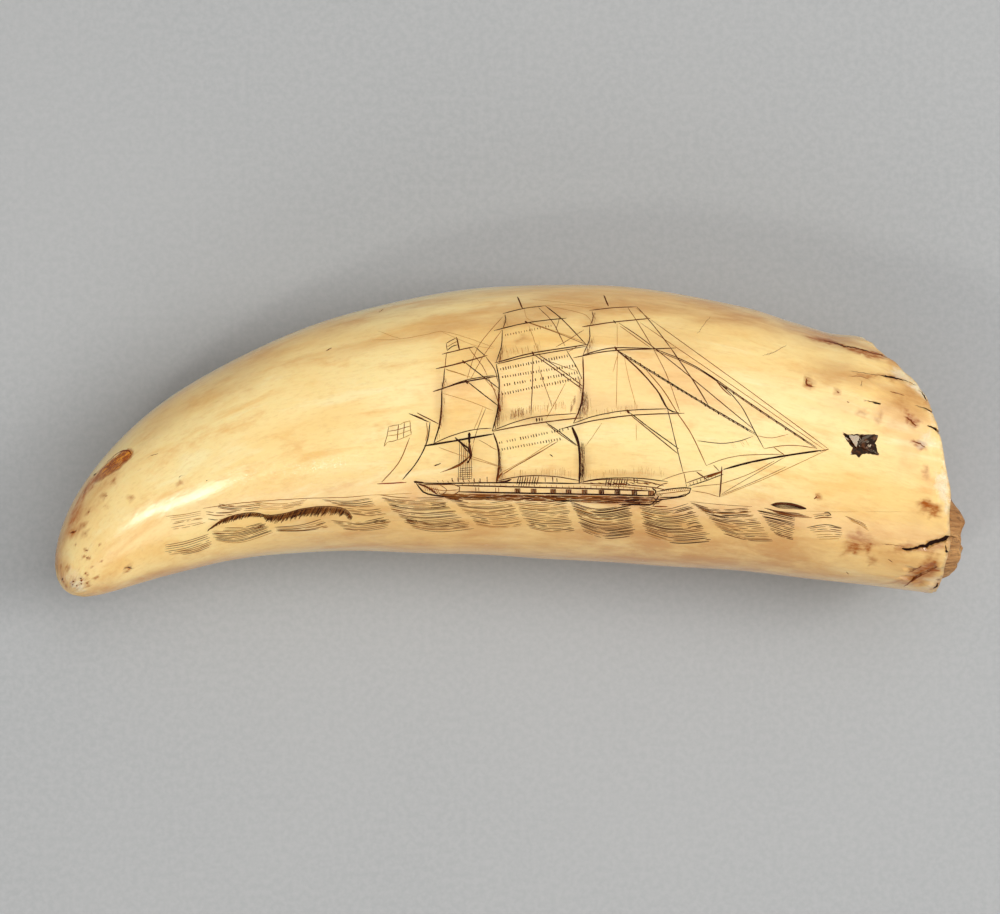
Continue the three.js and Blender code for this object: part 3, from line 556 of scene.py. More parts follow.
def beasts():
    """A long-backed creature at the left and a whale's back at the right, both in close short strokes."""
    back = spline([(208.6, 529.4), (222, 519.6), (238, 514.2), (255, 512.6), (268, 515.4), (284, 513.6), (300, 509.2), (320, 506.4), (336, 506.8), (347, 509.8), (352.6, 516.6)], 24)
    back = resample(back, 0.66)
    n = len(back)
    for i, c in enumerate(back):
        k = i / (n - 1)
        thick = 6.2 * math.sin(math.pi * min(k / 0.42, 1)) ** 0.6 if k < 0.40 else 9.6 * math.sin(math.pi * min(max((k - 0.36) / 0.68, 0), 1)) ** 0.5
        thick = max(thick, 2.0) * rng.uniform(0.72, 1.12)
        cut([c, c + [-thick * 0.3, thick * 0.55], c + [-thick * 0.6, thick * rng.uniform(0.9, 1.15)]], rng.uniform(0.62, 0.98), "sea" if rng.random() < 0.7 else "seab", 0.1, step=4, curve=False, taper=1.2)
    cut(back[::12], 0.9, "dark", 0.15)
    for i in range(30):
        j = int(rng.uniform(0.05, 0.9) * n)
        c = back[j] + [0, rng.uniform(1, 4.4)]
        cut([c, c + [6, -1.2]], 0.6, "sea" if i % 2 else "seab", 0.1, step=7)
    top = spline([(770.6, 504.8), (778, 502.6), (790, 503), (800, 505.6), (808, 509)], 16)
    low = spline([(770.6, 504.8), (780, 508.4), (792, 509.2), (801, 509.4), (808, 509)], 16)
    for v in (0.02, 0.13, 0.26, 0.4, 0.56, 0.74, 0.92):
        p = top * (1 - v) + low * v
        cut(p[:: 6], 1.05 - 0.3 * v, "dark", 0.12)
    for i in range(5):
        cut([(764 + i * 3, 508 + i * 1.2), (780 + i * 4, 511.2 + i * 1.4), (800 + i * 3, 513.6 + i)], 0.8, "dark" if i < 3 else "brown", 0.2)


ship(); sail_tone(); hull(); sea(); beasts()
print("strokes", len(STROKES), "samples", sum(len(s[0]) for s in STROKES))

# ------------------------------------------------------------------ cracks, nicks and the square pit
# a crack is (points, width in units, depth mm): wider and deeper cuts with dirt in them
CRACKS = []


def crack(pts, w, depth, tone="dirt", rough=0.35, reach=None):
    p = resample(spline(pts), 1.6)
    d = np.gradient(p, axis=0); d /= np.linalg.norm(d, axis=1)[:, None] + 1e-9
    off = rng.normal(0, rough, len(p)); off[0] = off[-1] = 0
    p = p + np.stack([-d[:, 1], d[:, 0]], -1) * off[:, None]
    width = np.interp(np.linspace(0, 1, len(p)), *(reach or ([0, 0.3, 1], [0.25, 1, 0.7]))) * w * (1 + rng.normal(0, 0.16, len(p)))
    CRACKS.append((p, np.maximum(width, 0.25), tone, depth))


crack([(817, 338.4), (827.4, 341.2), (839, 343.8), (845.2, 346.8), (852, 347.0), (865, 350.4), (873, 353), (883, 355)], 2.2, 0.34, "rust", 0.3, ([0, .2, .6, 1], [.5, 1.0, 0.9, 0.7]))
crack([(834, 342.8), (843, 345.8), (852, 347.0), (861, 349.4), (868, 351.4)], 1.9, 0.34, "dirt", 0.3, ([0, .3, .7, 1], [.4, 1, 1, .5]))
crack([(851, 371), (868, 373.6), (885, 376.2), (901, 379.2), (916, 385)], 1.0, 0.35, "dirt", 0.2, ([0, .45, .52, .72, .8, 1], [.4, .5, 2.2, 2.2, .6, .5]))
crack([(889.6, 391), (897, 393), (904.6, 395.4)], 1.1, 0.25, "rust", 0.2)
crack([(867, 400.8), (874, 402.4), (881, 403.8)], 2.6, 0.4, "dirt", 0.2, ([0, .4, .6, 1], [.25, .4, 1, .7]))
crack([(848, 376), (861, 376.4), (868, 379)], 0.6, 0.1, "rust", 0.2)
crack([(916, 405.6), (923, 407.6), (931, 411)], 1.4, 0.6, "dirt", 0.2, ([0, .5, 1], [.4, .8, 1.4]))
crack([(921.6, 391.6), (926, 398.6), (929, 404), (931.4, 410)], 1.7, 0.4, "dirt", 0.25)
crack([(933.6, 417.4), (937, 424), (940.4, 431)], 1.5, 0.3, "dirt", 0.25)
crack([(926.6, 425.2), (934, 428), (941, 431.6)], 2.6, 0.7, "dirt", 0.25, ([0, .5, 1], [.5, 1, 1]))
crack([(906, 367), (914, 374), (921, 381)], 0.7, 0.2, "dirt", 0.3)
crack([(902, 548.4), (908, 550), (918, 547.4), (926, 546), (937, 541.6), (948, 538.4)], 5.2, 1.1, "dirt", 0.42, ([0, .1, .25, .4, .6, .8, 1], [.45, 1.0, .6, .8, 1.15, 1.0, 1.1]))
crack([(882, 544), (893, 545), (903, 546.6)], 0.6, 0.12, "rust", 0.3)
crack([(908.4, 572.8), (914.6, 570), (921, 566.6)], 1.0, 0.15, "rust", 0.2)
crack([(904.4, 586.4), (913, 580.4), (922, 574.6)], 1.7, 0.3, "rust", 0.3, ([0, .4, 1], [.6, 1, 1.1]))
crack([(918, 577), (927, 572.6), (937, 567)], 0.8, 0.15, "rust", 0.25)
crack([(933, 589), (938, 585.6), (943, 581)], 2.2, 0.3, "dirt", 0.4)
crack([(945.6, 545), (946.8, 553), (948.4, 560), (949.6, 566)], 2.4, 0.34, "dirt", 0.35)
crack([(912.6, 441.4), (919, 443.6), (925, 447.4)], 1.1, 0.12, "rust", 0.3)
crack([(906, 417), (911, 420.6), (916, 426)], 1.8, 0.2, "rust", 0.35)
crack([(806.7, 378.6), (806.6, 384), (812.6, 386.6)], 1.7, 0.3, "rust", 0.1, ([0, .5, 1], [.5, 1.2, .5]))
crack([(814, 499.2), (817, 496.4)], 1.5, 0.2, "rust", 0.1); crack([(837, 391.2), (839, 392.8)], 1.1, 0.12, "rust", 0.1); crack([(847, 401.4), (849, 402.4)], 1.0, 0.1, "rust", 0.1)
crack([(862, 380.6), (861.6, 383.4)], 0.7, 0.08, "rust", 0.1)
crack([(127, 567.4), (131.6, 568.4)], 1.7, 0.3, "dirt", 0.1); crack([(150, 456), (158, 453.6)], 0.6, 0.06, "rust", 0.15)
crack([(179, 477.6), (180.4, 476)], 1.0, 0.1, "rust", 0.1); crack([(206, 481), (207.4, 480)], 0.8, 0.1, "dirt", 0.1); crack([(88, 512.6), (89.6, 511.6)], 1.0, 0.1, "rust", 0.1)
crack([(72, 532.6), (76, 531)], 1.9, 0.15, "rust", 0.2); crack([(85, 550.4), (88, 550)], 1.1, 0.08, "rust", 0.1); crack([(85.6, 557.6), (88.4, 558)], 1.1, 0.08, "rust", 0.1)
crack([(105, 496.4), (107.6, 495.6)], 0.8, 0.06, "rust", 0.1); crack([(93, 475.6), (96, 473.4)], 1.5, 0.2, "dirt", 0.1)
crack([(96, 478.4), (101, 470.6), (108, 461.8), (115.6, 454.6), (122, 451.0), (128.4, 450.6), (131.2, 454), (129.6, 457.6)], 1.3, 0.06, "stain", 0.22, ([0, .2, .5, .8, 1], [.3, .7, .8, 1.3, .9]))
crack([(129, 458.4), (123, 462.4), (116.6, 467.4), (109, 474)], 1.0, 0.05, "stain", 0.3, ([0, .5, 1], [1, .8, .4]))
crack([(126, 453.4), (119.6, 457.4), (112.4, 463.6), (104, 473)], 0.9, 0.05, "stain", 0.4); crack([(121.6, 454), (113, 461), (105.4, 468.6)], 1.2, 0.05, "stain", 0.35)
crack([(119, 462), (113.4, 466), (107, 472.4)], 0.8, 0.05, "stain", 0.4); crack([(127, 456), (122, 459.4)], 0.8, 0.05, "stain", 0.2)
crack([(93.6, 475.4), (96.4, 473.2)], 1.7, 0.16, "dirt", 0.1); crack([(90, 481.4), (86, 488.6), (82.6, 495.4)], 0.9, 0.04, "stain", 0.4, ([0, .5, 1], [.5, 1, .5]))
crack([(83.6, 493.4), (85.6, 491.4)], 1.0, 0.05, "stain", 0.1); crack([(70.4, 533), (75, 531.4)], 1.6, 0.10, "stain", 0.2)
# pinholes and crumbled specks at the tip
PINS = ((62.4, 579.2, 1.5), (73.3, 581.6, 1.7), (74.8, 580.2, 1.4), (80.8, 578.4, 1.4), (81.2, 580.8, 1.4), (72.6, 584.6, 1.7), (76.8, 585.8, 1.1), (81.4, 583.8, 1.0),
                   (86.8, 583.2, 1.3), (88.4, 585.6, 1.4), (66.4, 567.4, 1.3), (68.8, 568.4, 1.1), (67.4, 570.4, 1.1), (85.4, 573.6, 1.1), (87.4, 575.0, 1.0), (95.4, 578.0, 1.4),
                   (97.4, 576.8, 1.1), (61.0, 566.6, 0.9), (66.2, 585.8, 1.2), (70.6, 583.0, 0.9), (63.6, 581.6, 0.9), (79.0, 588.0, 0.9), (84.2, 587.4, 0.8), (84.6, 549.4, 1.1),
                   (87.0, 550.4, 0.9), (84.0, 556.4, 1.2), (87.6, 557.8, 1.2), (89.4, 558.2, 0.8), (84.8, 533.6, 0.8), (83.0, 526.4, 1.2), (81.2, 527.4, 0.9), (131, 497.6, 0.9), (127.4, 571.8, 0.6),
                   (114.0, 480.2, 0.9), (104.8, 495.8, 1.0), (180.0, 483.0, 0.9), (88.2, 511.8, 1.0), (99.4, 545, 0.5), (75.6, 544.6, 0.5), (92.6, 566.8, 0.6), (101.6, 561.2, 0.5))
for x_, y_, r_ in PINS:
    t_ = rng.uniform(-0.9, 0.9)
    crack([(x_ - 0.55 * r_ * math.cos(t_), y_ - 0.55 * r_ * math.sin(t_)), (x_ + 0.55 * r_ * math.cos(t_), y_ + 0.55 * r_ * math.sin(t_))], r_ * 1.35, 0.07 + 0.07 * r_, ("rust", "stain", "dirt")[int(rng.random() * 2.6)], 0.05, ([0, 1], [1, 0.8]))
crack([(326, 351), (331.6, 347.6)], 1.3, 0.2, "rust", 0.1); crack([(378.6, 312.6), (384, 308.6)], 1.2, 0.2, "rust", 0.1)
crack([(434, 466), (441, 463.4)], 1.3, 0.15, "dirt", 0.1); crack([(549.4, 454.4), (553, 456.6)], 1.2, 0.15, "dirt", 0.1)
crack([(846, 571.6), (849, 574.6)], 0.9, 0.1, "rust", 0.1); crack([(888, 559), (892, 562)], 0.8, 0.1, "rust", 0.1)
crack([(762, 356), (774, 352), (786, 345.6)], 0.6, 0.05, "rust", 0.2); crack([(697, 334), (706, 322), (711, 316.4)], 0.4, 0.04, "rust", 0.3)

# the square pit near the root, its corners in picture units, clockwise from the upper left
PIT = [(841.6, 431.2), (848, 434.6), (862, 434.4), (878.0, 434.8), (875.0, 442.6), (876.4, 449.6), (879.6, 455.8),
       (868.0, 453.4), (862.0, 454.0), (859.4, 457.6), (856.4, 454.2), (850.6, 454.4), (852.8, 447.8), (847.6, 441.0)]
PIT_DEPTH = 1.6
# small pits and chips at the tip, seeded
TIP_PITS = [(rng.uniform(60, 92), rng.uniform(562, 592), rng.uniform(0.5, 1.5)) for _ in range(18)] \
    + [(rng.uniform(72, 90), rng.uniform(576, 592), rng.uniform(0.7, 1.4)) for _ in range(10)] \
    + [(rng.uniform(70, 110), rng.uniform(480, 560), rng.uniform(0.4, 0.6)) for _ in range(6)]

# ------------------------------------------------------------------ the strokes on the skin
R0 = 22.0                       # mm per radian in the flat layout that is triangulated
A_LO = -math.pi / 2


def frame_at(s, a):
    p = skin(s, a)
    es = (skin(s + 0.05, a) - skin(s - 0.05, a)) / 0.1
    ea = (skin(s, a + 0.002) - skin(s, a - 0.002)) / 0.004
    n = np.cross(ea, es)
    n /= np.linalg.norm(n, axis=-1)[..., None] + 1e-12
    return p, es, ea, n


_centre = skin(np.array([90.0]), np.array([math.pi / 2]))[0]
_p, _es, _ea, _n = frame_at(np.array([90.0]), np.array([math.pi / 2]))
NSIGN = 1.0 if _n[0, 2] > 0 else -1.0


def offset_params(s, a, left):
    """Unit steps to the side of a path, in (s, a) per mm, given the path's own (s, a)."""
    p, es, ea, n = frame_at(s, a)
    d = np.gradient(p, axis=0)
    d /= np.linalg.norm(d, axis=1)[:, None] + 1e-12
    side = np.cross(n * NSIGN, d)
    ds = (side * es).sum(-1) / (es * es).sum(-1)
    da = (side * ea).sum(-1) / (ea * ea).sum(-1)
    return ds * left, da * left


DEPTH_RULE = {"dark": 0.075, "brown": 0.055, "tan": 0.035, "red": 0.06, "sea": 0.07, "seab": 0.05}
lay = []                        # per stroke: (s, a, half width mm, depth mm, tone, offset ds, da)
flat_pts = np.vstack([p for p, *_ in STROKES] + [p for p, *_ in CRACKS])
FS, FA = to_skin(flat_pts[:, 0], flat_pts[:, 1])
pos = 0
for p, w, tone, depth, taper in STROKES:
    n = len(p); s, a = FS[pos:pos + n], FA[pos:pos + n]; pos += n
    k = np.linspace(0, 1, n)
    prof = np.minimum(1, np.minimum(k, 1 - k) * 7 * max(1.0, 1.0 / taper) + 0.42) if n > 2 else np.full(n, 0.8)
    half = 0.5 * w * UNIT * prof * (1 + rng.normal(0, 0.07, n)) * 0.93
    dep = (depth or DEPTH_RULE[tone]) * np.clip(half / (0.5 * UNIT), 0.35, 1.6)
    ds, da = offset_params(s, a, 1.0)
    lay.append((s, a, half, dep, tone, ds, da))
N_ENGRAVED = len(lay)
for p, width, tone, depth in CRACKS:
    n = len(p); s, a = FS[pos:pos + n], FA[pos:pos + n]; pos += n
    half = 0.5 * width * UNIT
    dep = depth * np.clip(width / width.max(), 0.25, 1)
    ds, da = offset_params(s, a, 1.0)
    lay.append((s, a, half, dep, tone, ds, da))

# keep every path clear of the broken end
for i, (s, a, half, dep, tone, ds, da) in enumerate(lay):
    room = LENGTH + rim_end(a) - s
    ok = room > 0.3
    if not ok.all():
        n = int(np.argmin(ok)) if ok[0] else 0
        lay[i] = tuple(v[:n] if isinstance(v, np.ndarray) else v for v in (s, a, half, dep, tone, ds, da)) if n >= 2 else None
OPEN_END = [i >= N_ENGRAVED and l is not None and (LENGTH + rim_end(l[1][-1]) - l[0][-1]) < 1.6 for i, l in enumerate(lay)]

# ------------------------------------------------------------------ flat layout and its triangles
verts, edges = [], []           # (s, q) with q = a * R0


def add_chain(points, closed=False):
    base = len(verts)
    verts.extend(points)
    n = len(points)
    edges.extend((base + i, base + i + 1) for i in range(n - 1))
    if closed:
        edges.append((base + n - 1, base))
    return base


s_fine = np.linspace(0.02, LENGTH + 4, 6000)
h_fine = np.interp(s_fine, S_TAB, H_TAB)
l_fine = np.concatenate([[0], np.cumsum(np.hypot(np.diff(s_fine), np.diff(h_fine)))])
ROW = 0.9
rows = np.interp(np.arange(1.6, l_fine[-1], ROW), l_fine, s_fine)
S0 = float(np.interp(0.9, l_fine, s_fine))
A_HI = A_LO + 2 * math.pi

# outer boundary: tip ring, seam, broken edge, seam
n_tip = 18
tip_a = np.linspace(A_LO, A_HI, n_tip + 1)
fine = []
a = A_LO
while a < A_HI:
    fine.append(a)
    up = math.sin(a) > -0.25
    a += (0.26 if up else 0.6) / R0
if A_HI - fine[-1] < 0.012:
    fine.pop()
rim_a = np.array(fine + [A_HI])
rim_s = LENGTH + rim_end(rim_a)
seam_s = rows[(rows > S0 + 0.3) & (rows < rim_s[0] - 0.4)]
b = add_chain([(S0, v * R0) for v in tip_a])
left_n = len(tip_a)
hi = add_chain([(v, A_HI * R0) for v in seam_s])
edges.append((left_n - 1, hi))
rb = add_chain([(x, y * R0) for x, y in zip(rim_s[::-1], rim_a[::-1])])
edges.append((rb - 1, rb))
lo = add_chain([(v, A_LO * R0) for v in seam_s[::-1]])
edges.append((lo - 1, lo)); edges.append((len(verts) - 1, b))
N_BOUND = len(verts)

# engraved paths: two lips and a floor line each
for i, l in enumerate(lay):
    if l is None or len(l[0]) < 2:
        continue
    s, a, half, dep, tone, ds, da = l
    L = [(x + u * h, (y + v * h) * R0) for x, y, u, v, h in zip(s, a, ds, da, half)]
    R = [(x - u * h, (y - v * h) * R0) for x, y, u, v, h in zip(s, a, ds, da, half)]
    C = [(x, y * R0) for x, y in zip(s, a)]
    n = len(s)
    bl, br, bc = add_chain(L), add_chain(R), add_chain(C)
    edges += [(bl, bc), (bc, br), (bl + n - 1, bc + n - 1), (bc + n - 1, br + n - 1)]
stroke_v = np.array(verts[N_BOUND:])

# the pit's outline and a wall line inside it
ps, pa = to_skin(np.array([p[0] for p in PIT]), np.array([p[1] for p in PIT]))
pit_xy = resample(np.stack([np.append(ps, ps[0]), np.append(pa, pa[0]) * R0], -1), 0.35)[:-1]
pit_mid = pit_xy.mean(0)
pit_xy = pit_mid + (pit_xy - pit_mid) * (1 + np.random.default_rng(12).uniform(-0.015, 0.075, len(pit_xy)))[:, None]
add_chain([tuple(v) for v in pit_xy], closed=True)
pit_c = pit_xy.mean(0)
pit_in = pit_c + (pit_xy - pit_c) * 0.86
add_chain([tuple(v) for v in pit_in], closed=True)

# free points, closer together on the upper side, at the root and at the tip pits
free = []
for i, s in enumerate(rows):
    if s < S0 + 0.25:
        continue
    h = float(np.interp(s, S_TAB, H_TAB))
    fine_row = s > LENGTH - 24
    a = A_LO
    k = 0
    while a < A_HI - 0.3 * ROW / R0:
        up = math.sin(a) > -0.1
        step = ROW * (1.0 if up else 1.55) / max(h, 3.0)
        a += step * (0.5 if k == 0 and i % 2 else 1.0)
        k += 1
        if a > A_HI - 0.02:
            break
        free.append((s, a * R0))
for s in np.arange(LENGTH - 24, LENGTH + 3, 0.6):
    for a in np.arange(0.02, math.pi + 0.25, 0.6 / R0):
        free.append((s + rng.uniform(-0.1, 0.1), a * R0 + rng.uniform(-0.1, 0.1)))
tx, ty = np.meshgrid(np.arange(58, 104, 2.1), np.arange(540, 596, 2.1))
tx, ty = tx.ravel(), ty.ravel()
inside = ty > 500
ts, ta = to_skin(tx[inside], ty[inside])
free += [(u, v * R0) for u, v in zip(ts, ta) if u > 1.0]
hx, hy = np.meshgrid(np.arange(86, 136, 1.6), np.arange(446, 488, 1.6))
hx, hy = hx.ravel(), hy.ravel()
inside = np.abs((hx - 112) * 0.62 + (hy - 466) * 0.79) < 11
hs, ha = to_skin(hx[inside], hy[inside])
free += [(u, v * R0) for u, v in zip(hs, ha)]
gx, gy = np.meshgrid(np.arange(840, 882, 1.5), np.arange(430, 458, 1.5))
gs, ga = to_skin(gx.ravel(), gy.ravel())
free += [(u, v * R0) for u, v in zip(gs, ga)]
free = np.array(free[::-1])
ra = free[:, 1] / R0
free = free[(free[:, 0] < LENGTH + rim_end(ra) - 0.28) & (ra > A_LO + 0.012) & (ra < A_HI - 0.012) & (free[:, 0] > S0 + 0.2)]
near = np.vstack([stroke_v, pit_xy, pit_in, np.array(verts[:N_BOUND])])
tree = kdtree.KDTree(len(near))
for i, v in enumerate(near):
    tree.insert((v[0], v[1], 0), i)
tree.balance()
own = kdtree.KDTree(len(free))
for i, v in enumerate(free):
    own.insert((v[0], v[1], 0), i)
own.balance()
keep = np.ones(len(free), bool)
for i, v in enumerate(free):
    if not keep[i]:
        continue
    if tree.find((v[0], v[1], 0))[2] < 0.2:
        keep[i] = False
        continue
    h = float(np.interp(v[0], S_TAB, H_TAB))
    for co, j, d in own.find_range((v[0], v[1], 0), 0.24):
        if j > i:
            keep[j] = False
free = free[keep]
verts.extend(map(tuple, free))
print("layout points", len(verts), "fixed edges", len(edges))
v2, e2, f2, ov, oe, of_ = delaunay_2d_cdt([Vector(v) for v in verts], edges, [], 1, 1e-4)
print("triangulated", len(v2), "points", len(f2), "triangles")

# ------------------------------------------------------------------ depth of every cut, on the layout's points
V2 = np.array([(v.x, v.y) for v in v2])
TRI = np.array([tuple(f) for f in f2 if len(f) == 3], dtype=np.int64)
VS, VA = V2[:, 0], V2[:, 1] / R0
tree = kdtree.KDTree(len(V2))
for i, v in enumerate(V2):
    tree.insert((v[0], v[1], 0), i)
tree.balance()
depth = np.zeros(len(V2))
crackness = np.zeros(len(V2))
for li, l in enumerate(lay):
    if l is None or len(l[0]) < 2:
        continue
    s, a, half, dep, tone, ds, da = l
    dep = dep.copy()
    dep[0] = 0.0
    if OPEN_END[li]:
        s = np.append(s, s[-1] + (s[-1] - s[-2]) * 2); a = np.append(a, a[-1] + (a[-1] - a[-2]) * 2)
        half = np.append(half, half[-1] * 1.1); dep = np.append(dep, dep[-1] * 1.1)
        ds, da = np.append(ds, ds[-1]), np.append(da, da[-1])
    else:
        dep[-1] = 0.0
    _, es, ea, _ = frame_at(s, a)
    gs, ga = np.linalg.norm(es, axis=1), np.linalg.norm(ea, axis=1)
    for i in range(len(s) - 1):
        m = (0.5 * (s[i] + s[i + 1]), 0.5 * (a[i] + a[i + 1]) * R0, 0)
        seg = math.hypot(s[i + 1] - s[i], (a[i + 1] - a[i]) * R0)
        hmax = max(half[i], half[i + 1])
        A = np.array([s[i] * gs[i], a[i] * ga[i]]); B = np.array([s[i + 1] * gs[i], a[i + 1] * ga[i]])
        AB = B - A; L2 = float(AB @ AB) + 1e-12
        for co, j, d in tree.find_range(m, seg / 2 + hmax * 1.7 + 0.02):
            P = np.array([VS[j] * gs[i], VA[j] * ga[i]])
            k = min(max(float((P - A) @ AB) / L2, 0), 1)
            dist = math.hypot(*(P - A - AB * k))
            hw = half[i] * (1 - k) + half[i + 1] * k
            t = dist / max(hw, 1e-6)
            if t < 1:
                dd = (dep[i] * (1 - k) + dep[i + 1] * k) * (1 - t)
                if dd > depth[j]:
                    depth[j] = dd
                    if li >= N_ENGRAVED:
                        crackness[j] = max(crackness[j], 1 - t)


def inside_poly(pts, poly):
    x, y = pts[:, 0][:, None], pts[:, 1][:, None]
    x0, y0 = poly[:, 0][None], poly[:, 1][None]
    x1, y1 = np.roll(poly[:, 0], -1)[None], np.roll(poly[:, 1], -1)[None]
    hit = ((y0 > y) != (y1 > y)) & (x < (x1 - x0) * (y - y0) / (y1 - y0 + 1e-12) + x0)
    return hit.sum(1) % 2 == 1


def poly_dist(pts, poly):
    a, b = poly, np.roll(poly, -1, axis=0)
    ab = b - a
    u = np.clip(((pts[:, None] - a) * ab).sum(2) / ((ab ** 2).sum(1) + 1e-12), 0, 1)
    return np.sqrt((((pts[:, None] - a) - u[..., None] * ab) ** 2).sum(2)).min(1)


in_pit = np.zeros(len(V2))
cand = np.where((np.abs(V2 - pit_c) < 6).all(1))[0]
ins = inside_poly(V2[cand], pit_xy)
dist = poly_dist(V2[cand], pit_xy)
for j, ok, d in zip(cand, ins, dist):
    if ok and d > 1e-4:
        w = float(smooth(0, 0.42, d))
        depth[j] = max(depth[j], PIT_DEPTH * w * (1 + 0.12 * math.sin(V2[j, 0] * 5) * math.sin(V2[j, 1] * 4.3)))
        in_pit[j] = min(1.0, d / 0.12)

P3, ES, EA, NRM = frame_at(VS, VA)
NRM *= NSIGN
cut_depth = depth.copy()
# small pits and chips at the tip
tipness = np.zeros(len(V2))
for (x, y, r) in TIP_PITS:
    s, a = to_skin(np.array([x]), np.array([y]))
    c = skin(s, a)[0]
    d2 = ((P3 - c) ** 2).sum(1) / (r * UNIT * 1.6) ** 2
    m = np.exp(-d2 * 1.4)
    depth += 0.16 * r ** 0.7 * m * UNIT * 2
    tipness = np.maximum(tipness, m)

# worn and flaked places, as soft-edged ovals: (x, y, rx, ry, depth, tone)
FLAKES = [(942, 486, 7, 15, 0.28), (936, 450, 6, 9, 0.14), (919, 391, 12, 5, 0.18), (902, 374, 14, 5, 0.14), (946, 512, 4, 7, 0.22),
          (934, 404, 4, 7, 0.18), (930, 577, 26, 11, 0.50), (858, 342, 26, 3, 0.12), (886, 353, 10, 4, 0.16)]
chip = np.zeros(len(V2))
fx, fy = [], []
for (x, y, rx, ry, dd) in FLAKES:
    s, a = to_skin(np.array([x, x + rx, x]), np.array([y, y, y - ry], float))
    c = skin(s, a)
    ex, ey = c[1] - c[0], c[2] - c[0]
    u = ((P3 - c[0]) @ ex) / (ex @ ex); v = ((P3 - c[0]) @ ey) / (ey @ ey)
    up = np.abs((P3 - c[0])[:, 2]) < 14
    r = np.hypot(u, v) * (1 + 0.16 * np.sin(7 * np.arctan2(v, u) + x) + 0.1 * np.sin(13 * np.arctan2(v, u) + y))
    m = smooth(1.15, 0.8, r) * up * (NRM[:, 2] > -0.1)
    depth += dd * m * (1 - 0.35 * np.clip(r, 0, 1))
    chip = np.maximum(chip, m)

# the outer edge of the broken end is chipped back unevenly
to_end = LENGTH + rim_end(VA) - VS
edge_noise = 0.55 + 0.45 * np.sin(VA * 11 + 1) * np.sin(VA * 23 + 2) + 0.3 * np.sin(VA * 47)
brink = smooth(0.9 * np.clip(edge_noise, 0.25, 1.4), 0, to_end)
depth += 0.32 * brink * np.clip(edge_noise, 0.1, 1.3)
depth *= smooth(-0.02, 0.03, depth)

P3 = P3 - NRM * depth[:, None]
P3[:, 2] = np.maximum(P3[:, 2], 0.0)

# ------------------------------------------------------------------ broken end and root hollow
on_rim = np.where(np.abs(to_end) < 2e-3)[0]
on_rim = on_rim[np.argsort(VA[on_rim])]
ra = VA[on_rim]
rdepth = depth[on_rim]
NRIM, NCAV = 11, 24


def lumps(a, k, seed, n=9, lo=4, hi=40):
    g = np.random.default_rng(seed)
    out = np.zeros(np.broadcast(a, k).shape)
    for _ in range(n):
        f = int(g.integers(lo, hi))
        out = out + np.sin(a * f + g.uniform(0, 6) + k * g.uniform(-9, 9)) * g.uniform(0.3, 1) * (8 / f) ** 0.5
    return out / n ** 0.5


ring_pts, ring_k, ring_kind = [], [], []
end = LENGTH + rim_end(ra)
wall = rim_wall(ra)
for j in range(1, NRIM + 1):
    k = j / NRIM
    out = rim_step(ra, k) + 0.3 * np.sin(ra * 7 + k * 5) * math.sin(math.pi * k)
    notch = smooth(-0.50, -0.60, np.cos(ra)) * smooth(-0.98, -0.90, np.cos(ra)) * (np.sin(ra) > 0)
    out = out - 0.9 * notch * math.exp(-((k - 0.14) / 0.07) ** 2)
    rough = 0.34 * lumps(ra, k, 5, 12, 6, 60) + 0.14 * lumps(ra, k * 2, 6, 8, 40, 110)
    layers = 0.18 * np.sin(k * 19 + 1.5 * np.sin(ra * 3)) + 0.12 * np.sin(k * 37 + 2 * np.sin(ra * 5))
    p = place(end + out + (rough + layers - 0.2) * min(1, 2 * k) * min(1, 4 * (1 - k) + 0.25) - 0.15, ra,
              inset=np.maximum(wall * k, rdepth * 1.02 + 0.03 * j) - flake(end, ra) * (1 - k))
    ring_pts.append(p); ring_k.append(np.full(len(ra), k)); ring_kind.append(1)
for j in range(1, NCAV):
    k = j / NCAV
    s = end - 0.2 + (LENGTH - CAVITY_DEPTH - end + 0.2) * k
    ins = wall + (RIM_WALL - wall) * k
    rough = 0.16 * lumps(ra, k * 3, 8, 10, 3, 22) * (1 - k) + 0.22 * np.sin(k * 40 + 2 * np.sin(ra * 2)) * (1 - k) * 0.5
    p = place(s, ra, inset=ins + rough, rho=(1 - k) ** CAVITY_POWER)
    ring_pts.append(p); ring_k.append(np.full(len(ra), k)); ring_kind.append(2)
apex = place(np.array([LENGTH - CAVITY_DEPTH]), np.array([0.0]), inset=RIM_WALL, rho=0.0)

base = len(V2)
nr = len(ra)
ALL = [P3] + ring_pts + [apex, place(np.array([0.0]), np.array([0.0]))]
XYZ = np.vstack(ALL)
I_APEX, I_POLE = len(XYZ) - 2, len(XYZ) - 1
faces = [TRI]


def ring_index(j):
    return on_rim if j == 0 else base + (j - 1) * nr + np.arange(nr)


for j in range(NRIM + NCAV - 1):
    A, B = ring_index(j), ring_index(j + 1)
    faces.append(np.stack([A[:-1], A[1:], B[1:]], -1)); faces.append(np.stack([A[:-1], B[1:], B[:-1]], -1))
A = ring_index(NRIM + NCAV - 1)
faces.append(np.stack([A[:-1], A[1:], np.full(nr - 1, I_APEX)], -1))
tip_ring = np.where(np.abs(VS - S0) < 1e-3)[0]
tip_ring = tip_ring[np.argsort(VA[tip_ring])]
faces.append(np.stack([tip_ring[1:], tip_ring[:-1], np.full(len(tip_ring) - 1, I_POLE)], -1))
FACES = np.vstack(faces)
ALL_S = np.concatenate([VS] + [np.full(nr, LENGTH) for _ in ring_pts] + [[LENGTH], [0.0]])
ALL_A = np.concatenate([VA] + [ra for _ in ring_pts] + [[0.0], [math.pi / 2]])
ALL_K = np.concatenate([np.zeros(base)] + ring_k + [[1.0], [0.0]])
KIND = np.concatenate([np.zeros(base)] + [np.full(nr, k) for k in ring_kind] + [[2], [0]])

